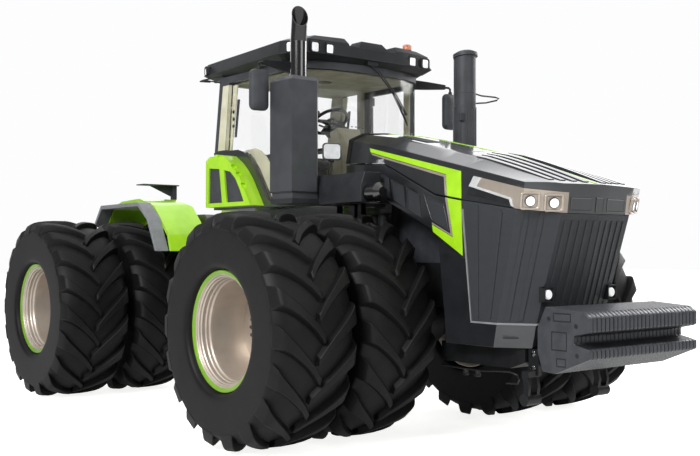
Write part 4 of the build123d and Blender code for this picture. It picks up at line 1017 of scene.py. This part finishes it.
def under_nose():
    """Thin dark pipe under the belly pan, bolts on the tow plates and slots in the skirt."""
    pipe, bolts, slots = Shape(), Shape(), Shape()
    pipe.tube([(3020, -462, 700), (3300, -466, 690), (3560, -466, 690), (3700, -466, 704),
               (3860, -462, 712), (3930, -440, 690), (3935, -420, 650), (3900, -400, 612),
               (3760, -398, 600)], 8, 8)
    for x in (3330, 3480):
        pipe.rod((x, -462, 664), (0, 0, 1), 22, 60, 12, 3)
        pipe.box((x - 26, -482, 640), (x + 26, -446, 656))
    pipe.make("pan_pipe", chassis, "front_body", ease=2)
    for side in (1, -1):
        for z in (880, 760):
            bolts.rod((4094, side * 428, z), (0, side, 0), 17, 12, 6, 2)
            bolts.rod((4094, side * 424, z), (0, side, 0), 26, 4, 20, 1)
        slots.tube([(3884, side * 560, 1012), (3990, side * 484, 1010)], 13, 8)
    bolts.make("tow_plate_bolts", chrome, "front_body", ease=1)
    slots.make("skirt_slots", black_abs, "front_body", ease=1)


def deck_tank():
    """Dark oil tank and two filters under the right deck."""
    tank = Shape()
    tank.plate([(1480, 1720), (1960, 1720), (2060, 1820), (2060, 2060), (1480, 2060)], -470, 120)
    for x in (2120, 2240):
        tank.rod((x, -520, 1985), (0, 0, 1), 52, 190, 24, 10)
        tank.rod((x, -520, 2085), (0, 0, 1), 34, 26, 20, 4)
    tank.box((2060, -560, 2076), (2300, -470, 2096))
    tank.make("deck_tank", black_abs, "front_body", ease=10)


weight_stack()
under_nose()
deck_tank()


# ------------------------------------------------------------------ cab, outside
def square_lamp(shell, bowl, centre, axis, half_w, half_h):
    """Rounded square work lamp: a lipped shell round a slightly domed lens."""
    depth = 30
    place = facing(centre, axis)
    rings = rounded_rings(place, [
        (half_w + grow, half_h + grow, 22 + grow, d) for grow, d in
        ((14, -depth), (14, 4), (8, 12), (1, 12), (-2, 2), (-2, -depth))])
    shell.ring_loft(rings + rings[:1], caps=False)
    bowl.ring_loft(rounded_rings(place, [
        (half_w - shrink, half_h - shrink, max(20 - shrink, 4), d) for shrink, d in
        ((4, 4 - depth), (4, 0), (12, 5), (30, 8))]))


def roof_lamp_units():
    """Work lamps in the roof's front edge, its chamfered corners and its rear."""
    shells, bowls = Shape(), Shape()
    for side in (1, -1):
        for x, y, z, axis in ((1421, 560, 3800, (1, 0, -0.03)), (1421, 745, 3800, (1, 0, -0.03)),
                              (1237, 925, 3806, (0.44, 0.9, -0.03)),
                              (-672, 750, 3812, (-1, 0, -0.05))):
            square_lamp(shells, bowls, (x, side * y, z), (axis[0], side * axis[1], axis[2]), 46, 50)
        square_lamp(shells, bowls, (-596, side * 862, 3800), (-0.32, side * 0.95, -0.03), 42, 46)
    shells.make("roof_lamp_shells", black_abs, "front_body", ease=3)
    bowls = bowls.make("roof_lamp_lenses", lens, "front_body", ease=2)
    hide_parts("roof_lamps")


def roof_trim():
    """Drip rail under the roof's edge, a cover on its top, the wiper's housing and rear rails."""
    trim = Shape()
    rail = [(-640, 800), (-560, 862), (1085, 992), (1402, 846), (1444, 432), (1444, 0)]
    path = [(x, y, 3744) for x, y in rail] + [(x, -y, 3744) for x, y in reversed(rail[:-1])]
    trim.tube(path, 7, 8)
    trim.prism([(520, -90, 3991), (740, -90, 3991), (740, 140, 3991), (520, 140, 3991)], (0, 0, 14))
    trim.prism([(1330, -70, 3735), (1432, -70, 3735), (1432, 70, 3735), (1330, 70, 3735)],
               (0, 0, -46))
    for side in (1, -1):
        trim.tube([(x, side * y, z) for x, y, z in
                   ((-255, 836, 3706), (-560, 918, 3690), (-668, 900, 3690), (-680, 760, 3700))],
                  9, 8)
        trim.tube([(x, side * y, z) for x, y, z in
                   ((-330, 832, 3640), (-470, 890, 3672), (-560, 916, 3690))], 8, 8)
        trim.box((-668, side * 700 - 16, 3690), (-630, side * 700 + 16, 3760))
    trim.make("roof_trim", black_abs, "front_body", ease=4)


def roof_shell_details():
    """Sloping underside of the roof's overhang, and the box on its front."""
    skirt = Shape()
    low = [(-560, 760), (1060, 900), (1330, 770), (1370, 400), (1370, 0)]
    wide = [(-660, 850), (1100, 985), (1400, 840), (1440, 430), (1440, 0)]
    chains = []
    for outline, z, grow in ((low, 3690, -8), (low, 3690, 3), (wide, 3747, 3), (wide, 3757, 2),
                             (wide, 3757, -8)):
        half = [(x + grow, y + grow, z) for x, y in outline[:-1]] + [(outline[-1][0] + grow, 0, z)]
        chains.append(half + [(x, -y, z) for x, y, z in half[-2::-1]])
    skirt.chain_skin(chains)
    skirt.make("roof_underside", black_abs, "front_body")
    front_box = Shape()
    front_box.ring_loft([[(x0, y0, z), (x1, y0, z), (x1, y1, z), (x0, y1, z)]
                         for x0, x1, y0, y1, z in
                         ((1120, 1352, -122, 268, 3862), (1130, 1346, -112, 258, 3905),
                          (1150, 1322, -74, 206, 3958))])
    front_box.make("roof_front_box", roof_abs, "front_body", ease=6)


def wiper_arms():
    """Parked windscreen wiper: two arms, a link and the blade."""
    wiper = Shape()
    wiper.tube([(1425, -40, 3700), (1418, 60, 3640), (1392, 330, 3410), (1352, 520, 3215)], 8, 8)
    wiper.tube([(1425, -10, 3700), (1420, 90, 3646), (1394, 352, 3416), (1354, 536, 3222)], 6, 8)
    wiper.tube([(1405, 300, 3440), (1360, 500, 3180), (1347, 545, 3120)], 7, 6)
    wiper.tube([(1393, 262, 3480), (1352, 545, 3100)], 5, 6)
    wiper.make("wiper", black_abs, "front_body", ease=1)


def beacon():
    """Fluted amber dome on a black foot, sized from the solid that it stands for."""
    lamp = Shape()
    foot = Shape()
    (ax, ay, az), (bx, by, bz) = (v * 1000 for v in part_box("beacon"))
    cx, cy = (ax + bx) / 2 - PIVOT_X * 1000, (ay + by) / 2
    radius, height, upright = (bx - ax) / 2, bz - az, (0, 0, 1)
    lamp.rod((cx, cy, az + 52), upright, radius - 4, height - 24, 32, 8)
    for a in turns(14):
        r = radius - 3
        lamp.rod((cx + r * math.cos(a), cy + r * math.sin(a), az + 52), upright, 3,
                 height - 40, 6)
    foot.rod((cx, cy, az + 12), upright, radius + 2, 24, 32, 3)
    piece = lamp.make("beacon_dome", amber, "front_body", ease=1)
    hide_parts("beacon")
    foot.make("beacon_foot", black_abs, "front_body", ease=2)


def guard_details():
    """Dark lip under the exhaust guard's foot, with its chamfered corner."""
    foot = Shape()
    x, y, z, half_x, half_y, cut = 1485, -1035, 2302, 196, 166, 35
    x0, x1, y0, y1 = x - half_x, x + half_x, y - half_y, y + half_y
    foot.prism([(x0, y0, z), (x1, y0, z), (x1, y1 - cut, z), (x1 - cut, y1, z), (x0, y1, z)],
               (0, 0, 10))
    foot.make("guard_foot_lip", black_abs, "front_body", ease=3)


def intake_details():
    """Seams, flutes and a latch on the air intake, and a bent guard rail beside it."""
    fittings = Shape()
    x, y, r = 1890, 900, 120
    for z in (3430, 3272, 2520):
        fittings.rod((x, y, z), (0, 0, 1), r + (9.5 if z < 3280 else 2.5), 7, 48, 2)
    for turn in (-62, -34, -6, 22):
        a = math.radians(turn)
        out = Vector((math.cos(a), math.sin(a), 0))
        fittings.rod(Vector((x, y, 2880)) + out * (r + 4), (0, 0, 1), 9, 740, 12, 3)
    fittings.box((x + 60, y - r - 26, 3120), (x + 96, y - r + 30, 3200))
    fittings.make("intake_seams", dark_abs, "front_body", ease=2)
    rail = Shape()
    rail.tube([(1900, 1014, 3444), (1915, 1130, 3424), (2040, 1215, 3402), (2086, 1228, 3384),
               (2060, 1220, 3366), (1960, 1150, 3344), (1900, 1014, 3330)], 9, 10)
    rail.make("intake_rail", black_heat, "front_body")


def mirror_form():
    """Rounded mirror housings on bent arms with pivots, and the small mirror on the deck.

    Each ring is (half width, half height, corner radius, depth).
    """
    shells, faces, arms = Shape(), Shape(), Shape()
    for side in (1, -1):
        place = facing((1232, side * 1290, 3330), (1, side * 0.12, 0))
        shells.ring_loft(rounded_rings(place, (
            (92, 196, 46, -42), (101, 206, 54, -22), (101, 206, 54, 4), (92, 198, 48, 24),
            (66, 168, 38, 40), (30, 110, 22, 46))))
        faces.ring_loft(rounded_rings(place, ((86, 188, 46, -46), (86, 188, 46, -38))))
        wedge = []
        for x, y, half, depth in ((1112, 846, 52, 26), (1150, 1000, 44, 24), (1205, 1230, 26, 20)):
            wedge.append([(x - depth, side * y, 3612 - half), (x + depth, side * y, 3612 - half),
                          (x + depth, side * y, 3612 + half), (x - depth, side * y, 3612 + half)])
        arms.ring_loft(wedge)
        arms.tube([(1200, side * 1210, 3612), (1222, side * 1280, 3608), (1230, side * 1294, 3594),
                   (1231, side * 1296, 3530)], 13, 12)
        arms.rod((1231, side * 1296, 3540), (0, 0, 1), 22, 40, 16, 4)
        arms.box((1080, side * 834 - 14, 3560), (1146, side * 834 + 14, 3664))
    place = facing((1786, -800, 2705), (0.92, -0.4, 0.05))
    shells.ring_loft(rounded_rings(place, (
        (70, 62, 26, -46), (92, 82, 34, -30), (96, 86, 36, -6), (90, 80, 32, 2))))
    faces.ring_loft(rounded_rings(place, ((82, 72, 28, 0), (82, 72, 28, 5))))
    arms.tube([(1780, -800, 2372), (1780, -800, 2560), (1784, -800, 2626)], 10, 10)
    arms.rod((1784, -800, 2614), (0, 1, 0), 18, 40, 12, 3)
    shells = shells.make("mirror_housings", dark_abs, "front_body", ease=4)
    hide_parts("mirrors")
    faces.make("mirror_faces", moulding, "front_body", ease=1)
    arms.make("mirror_arms", black_abs, "front_body", ease=3)


roof_lamp_units()
roof_trim()
roof_shell_details()
wiper_arms()
beacon()
guard_details()
intake_details()
mirror_form()


# ------------------------------------------------------------------ cab, inside
def cab_lining():
    """Moulded lining: headliner, pillar linings, lower side trims and the rear wall."""
    lining = Shape()
    lining.prism([(-300, -745, 3600), (1050, -745, 3600), (1180, -700, 3600), (1290, -440, 3600),
                  (1320, 0, 3600), (1290, 440, 3600), (1180, 700, 3600), (1050, 745, 3600),
                  (-300, 745, 3600)], (0, 0, 14))
    for side in (1, -1):
        y = side * 758
        for outline in ([(1052, 2500), (1148, 2500), (1148, 3615), (1052, 3615)],
                        [(-452, 2850), (-205, 2850), (-118, 3615), (-322, 3615)]):
            lining.plate(outline, y, side * -22)
        lining.plate([(-405, 2260), (640, 2260), (478, 2490), (378, 2622), (280, 2725),
                      (172, 2800), (56, 2834), (-405, 2834)], side * 768, side * -18)
    lining.plate([(188, 2790), (314, 2790), (314, 3615), (188, 3615)], 758, -22)
    lining.box((-408, -740, 2260), (-392, 740, 2845))
    lining.make("cab_lining", trim_abs, "front_body", ease=10)


def pillar_covers():
    """Pale covers on the rear and front pillars, and the lower trim of the right side in a lighter
    copy of the beige trim as painted light.
    """
    covers = Shape()
    rear = [(-372, 2862), (-168, 2862), (-40, 3590), (-262, 3590)]
    for side in (1, -1):
        covers.plate(rear[:1] + [(-212, 2862), (-132, 3590)] + rear[3:], side * 831, side * 2.5)
        covers.plate([(-211, 2862), (-207, 2862), (-128, 3590), (-132, 3590)],
                     side * 829, side * -36)
        covers.plate(rear, side * 776, side * -14)
        covers.plate([(1074, 2520), (1126, 2520), (1126, 3590), (1074, 3590)],
                     side * 831, side * 2.5)
    covers.make("pillar_covers", pale_trim, "front_body", ease=1)
    lower = Shape()
    near = [(60, 2840), (180, 2805), (290, 2730), (390, 2625), (490, 2490), (640, 2290)]
    # the lower trim takes the lighter beige copy, painted light where it would sit in shade
    lower.plate(near + [(x + 235, z + 12) for x, z in near[::-1]], -752, 10)
    lower.make("lower_side_trim", painted_lit_trim, "front_body", ease=3)


def cab_fittings():
    """Dome lamp, rear sill, floor mat, and the studs and grab bars beside the rear pillars."""
    dark = Shape()
    dark.rod((674, -85, 3596), (0, 0, 1), 75, 10, 32, 3)
    dark.box((-405, -760, 2845), (-380, 760, 2862))
    dark.box((-400, -740, 2252), (1180, 740, 2262))
    for z in (3130, 3210, 3290):
        for side in (1, -1):
            dark.rod((-118, side * 780, z), (0, 1, 0), 20, 12, 20, 3)
    for side in (1, -1):
        dark.plate([(-92, 3000), (-62, 3000), (6, 3420), (-30, 3420)], side * 784, side * -16)
    dark.make("cab_fittings", black_abs, "front_body", ease=3)


def driver_console():
    """Armrest console with a lever and a screen, dash switches and the column's head."""
    shell = Shape()
    shell.plate([(-60, 2500), (420, 2500), (585, 2790), (560, 2860), (480, 2872), (-60, 2812)],
                -425, 140)
    shell.make("armrest_console", dark_abs, "front_body", ease=16, segments=3)
    top = Shape()
    for k in range(8):
        a = 0.5 + 2.4 * k / 7
        top.rod((1010 - 150 * math.cos(a) * 0.6, -120 + 34 * k, 3060 + 20 * math.sin(a)),
                (0.3, 0, 1), 12, 8, 12, 2)
    top.plate([(520, 2870), (545, 2870), (575, 3090), (550, 3095)], -345, 210)
    top.tube([(470, -355, 2860), (485, -355, 2920), (480, -355, 2985)], 10, 10)
    top.rod((480, -355, 3010), (0.2, 0, 1), 24, 66, 16, 10)
    top.make("console_controls", black_abs, "front_body", ease=4)
    head = Shape()
    head.ring_loft([[(x0, -w, z), (x1, -w, z), (x1, w, z), (x0, w, z)] for x0, x1, w, z in
                    ((690, 850, 60, 2980), (670, 850, 96, 3030), (680, 830, 104, 3090),
                     (710, 800, 80, 3130))])
    for side in (1, -1):
        head.tube([(730, side * 70, 3080), (715, side * 150, 3100), (705, side * 190, 3112)], 11, 8)
    head.make("column_head", grip, "front_body", ease=14, segments=3)


def wheel_parts():
    """Padded steering wheel with three spokes, a hub and a spinner knob."""
    rim, spokes = Shape(), Shape()
    tilt = math.radians(35)
    axis = Vector((-math.sin(tilt), 0, math.cos(tilt)))
    across, up = Vector((0, 1, 0)), Vector((math.cos(tilt), 0, math.sin(tilt)))
    hub = Vector((650, 0, 3170))
    rings = []
    for a in turns(56):
        out = across * math.cos(a) + up * math.sin(a)
        rings.append([tuple(hub + out * (203 + 19 * math.cos(t)) + axis * (17 * math.sin(t)))
                      for t in turns(12)])
    rim.ring_loft(rings + rings[:1], caps=False)
    rim_piece = rim.make("wheel_rim_grip", grip, "steering_wheel")
    shade(rim_piece, True)
    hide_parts("steering_wheel")
    for a in (0.0, math.pi, -math.pi / 2):
        out = across * math.cos(a) + up * math.sin(a)
        wide = axis.cross(out)
        spokes.ring_loft([[tuple(hub + out * s + wide * u + axis * d)
                           for u, d in ((-w, d0), (w, d0), (w, d1), (-w, d1))]
                          for s, w, d0, d1 in
                          ((40, 34, -30, -2), (110, 22, -14, 4), (196, 18, -6, 8))])
    spokes.rod(hub - axis * 18, axis, 62, 52, 32, 10)
    spokes.rod(hub + across * -190 + up * 80 + axis * 38, axis, 20, 48, 20, 8)
    spokes.make("wheel_spokes", black_abs, "steering_wheel", ease=4)


def applied(piece, modifier):
    """Bakes one modifier into the mesh."""
    depsgraph = bpy.context.evaluated_depsgraph_get()
    depsgraph.update()
    mesh = bpy.data.meshes.new_from_object(piece.evaluated_get(depsgraph))
    piece.modifiers.remove(modifier)
    piece.data = mesh


def stuffed(piece):
    """Inflates a pad's cover as pressed cloth, rising no more than a real seat's crown."""
    cover_grid, crown_limit, frames = 0.0096, 0.022, 20
    remesh = piece.modifiers.new("even_cover", "REMESH")
    remesh.mode = "VOXEL"
    remesh.voxel_size = cover_grid
    applied(piece, remesh)
    start = [v.co.copy() for v in piece.data.vertices]
    cover = piece.modifiers.new("stuffed_cover", "CLOTH")
    cover.settings.use_pressure = True
    cover.settings.uniform_pressure_force = 4
    cover.settings.effector_weights.gravity = 0
    scene = bpy.context.scene
    for frame_number in range(1, frames + 1):
        scene.frame_set(frame_number)
    applied(piece, cover)
    scene.frame_set(1)
    for vertex, was in zip(piece.data.vertices, start):
        moved = vertex.co - was
        if moved.length > crown_limit:
            vertex.co = was + moved.normalized() * crown_limit
    shade(piece, True)


def pad(name, rings):
    """Cloth pad from rounded cross rings, with its cover inflated."""
    shape = Shape()
    shape.ring_loft(rings)
    piece = shape.make(name, cloth, "front_body")
    shade(piece, True)
    stuffed(piece)
    smooth = piece.modifiers.new("soft_form", "SUBSURF")
    smooth.levels = smooth.render_levels = 1
    return piece


def level_ring(x, z, half, thick, radius):
    """Rounded cross ring of an upright pad at one height."""
    return [(x + v, u, z) for u, v in rounded(half, thick, radius, 3)]


def driver_seat():
    """High-backed seat: crowned cushion, tapered backrest, headrest and a left armrest."""
    cushion = []
    for x, lift, half, thick in ((-62, 0, 200, 40), (-40, 0, 226, 50), (60, 0, 232, 52),
                                 (250, 2, 234, 54), (360, 0, 230, 52), (398, -6, 214, 42)):
        place = facing((x, 0, 2708 + lift), (1, 0, 0))
        cushion.append([place(u, v, 0) for u, v in rounded(half, thick, 34, 3)])
    seat_pad = pad("seat_cushion", cushion)
    pad("seat_back", [level_ring(-62 - (z - 2780) * 0.125, z, half, thick, 30)
                      for z, half, thick in ((2800, 190, 34), (2830, 214, 44), (2960, 216, 48),
                                             (3120, 208, 46), (3260, 190, 42), (3300, 160, 34))])
    pad("seat_headrest", [level_ring(-132, z, half, thick, 24)
                          for z, half, thick in ((3322, 96, 26), (3336, 118, 34),
                                                 (3384, 120, 36), (3404, 100, 28))])
    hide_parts("seat")
    arms = Shape()
    arms.rod((-134, 0, 3312), (0, 0, 1), 60, 14, 20, 2)
    arms.box((-150, 236, 2860), (180, 262, 2925))
    arms.make("seat_arm", black_abs, "front_body", ease=8)


cab_lining()
pillar_covers()
cab_fittings()
driver_console()
wheel_parts()
driver_seat()


# ------------------------------------------------------------------ rounded edges on the solids
def softened(name, width_mm):
    """Eased edges on a solid as it is drawn; its own mesh stays as it is."""
    weld = nodes[name].modifiers.new("joined_corners", "WELD")
    weld.merge_threshold = 0.0002
    eased(nodes[name], width_mm, 2, 30)


for name, width in (("hood", 7), ("cab_roof", 14), ("cab_side_boxes", 16), ("rear_fenders", 12),
                    ("fender_lips", 10), ("exhaust_guard", 7), ("nose_skirt", 8),
                    ("front_grille", 6), ("right_platform", 6), ("left_platform", 6),
                    ("hood_sides", 5), ("cab_side_panels", 8), ("rear_deck", 10),
                    ("headlights", 4), ("cab_frame", 5), ("cab_base", 5), ("steering_column", 14),
                    ("weight_carrier", 6), ("drawbar", 5), ("rear_bracket", 5),
                    ("left_steps", 4), ("front_frame", 4), ("rear_frame", 4)):
    softened(name, width)


# ------------------------------------------------------------------ studio and camera
FLOOR_GLOW = 1.15     # makes the floor show white
GLOSSY_SHARE = 0.18   # share of that glow which reflections see


def joined_math(tree, operation, first, second):
    """Math node fed by two sockets, or by a socket and a plain number."""
    if isinstance(second, (int, float)):
        made = node(tree, "ShaderNodeMath", {0: first}, operation=operation,
                    sockets={1: second})
    else:
        made = node(tree, "ShaderNodeMath", {0: first, 1: second}, operation=operation)
    return made.outputs["Value"]


def pale_floor():
    """Seamless pale floor that shows white and still takes the shadows."""
    mat, tree, shader = finish_named("seamless_paper", {"Roughness": 0.9})
    ramp = speckled(tree, shader, object_place(tree), ("dededc", "e6e6e4"), 900)
    path = node(tree, "ShaderNodeLightPath").outputs
    gloss = joined_math(tree, "MULTIPLY", path["Is Glossy Ray"], GLOSSY_SHARE)
    seen = joined_math(tree, "MAXIMUM", path["Is Camera Ray"], gloss)
    seen = joined_math(tree, "MAXIMUM", seen, path["Is Transmission Ray"])
    glow = joined_math(tree, "MULTIPLY", seen, FLOOR_GLOW)
    tree.links.new(ramp.outputs["Color"], shader.inputs["Emission Color"])
    tree.links.new(glow, shader.inputs["Emission Strength"])
    bpy.ops.mesh.primitive_plane_add(size=120, location=(0, 0, 0))
    floor = bpy.context.object
    floor.name = "studio_floor"
    floor.data.materials.append(mat)


def studio_air():
    """White backdrop whose light on the tractor comes from overhead and from its far wall."""
    world = bpy.data.worlds.new("studio_air")
    bpy.context.scene.world = world
    world.use_nodes = True
    tree = world.node_tree
    back = tree.nodes["Background"]
    back.inputs["Color"].default_value = paint_code("fdfdfe")
    path = node(tree, "ShaderNodeLightPath").outputs
    seen = joined_math(tree, "MAXIMUM", path["Is Camera Ray"], path["Is Transmission Ray"])
    direction = node(tree, "ShaderNodeTexCoord").outputs["Generated"]
    height = node(tree, "ShaderNodeSeparateXYZ", {"Vector": direction}).outputs["Z"]
    overhead = node(tree, "ShaderNodeMapRange", {"Value": height}, sockets={
        "From Min": 0.3, "From Max": 0.95, "To Min": 0.2, "To Max": 1.25})
    far = node(tree, "ShaderNodeVectorMath", {0: direction}, operation="DOT_PRODUCT",
               sockets={1: (-0.76, 0.65, 0.0)})
    wall = node(tree, "ShaderNodeMapRange", {"Value": far.outputs["Value"]}, sockets={
        "From Min": 0.35, "From Max": 0.95, "To Min": 0.0, "To Max": 1.8})
    room = joined_math(tree, "MAXIMUM", overhead.outputs["Result"], wall.outputs["Result"])
    level = node(tree, "ShaderNodeMix", {0: seen, 2: room}, data_type="FLOAT",
                 sockets={3: 1.0})
    tree.links.new(level.outputs[0], back.inputs["Strength"])


def softbox(name, place, aim, power, size):
    """Rectangular soft light that faces a point."""
    light = bpy.data.lights.new(name, "AREA")
    light.shape = "RECTANGLE"
    light.size, light.size_y = size
    light.energy = power
    lamp = bpy.data.objects.new(name, light)
    lamp.location = place
    lamp.rotation_euler = (Vector(aim) - Vector(place)).to_track_quat("-Z", "Y").to_euler()
    bpy.context.collection.objects.link(lamp)


def camera():
    """View from the right front, at eye height."""
    yaw, pitch = math.radians(40.2), math.radians(0.97)
    data = bpy.data.cameras.new("view_camera")
    data.sensor_width = 36
    data.lens = 52.38
    data.shift_x, data.shift_y = -0.0768, 0.0035
    data.clip_end = 300
    cam = bpy.data.objects.new("view_camera", data)
    cam.location = at(9873, -6711, 1760)
    look = Vector((-math.cos(pitch) * math.cos(yaw), math.cos(pitch) * math.sin(yaw),
                   math.sin(pitch)))
    cam.rotation_euler = look.to_track_quat("-Z", "Y").to_euler()
    bpy.context.collection.objects.link(cam)
    bpy.context.scene.camera = cam


pale_floor()
studio_air()
softbox("key_light", (5, -10, 8), (0, 0, 1), 1150, (5, 4))
softbox("front_light", (12, 1, 6), (2, 0, 1.5), 220, (5, 4))
softbox("left_light", (2, 11, 7), (0, 0, 1.5), 500, (6, 4))
camera()
bpy.context.scene.view_settings.view_transform = "Standard"
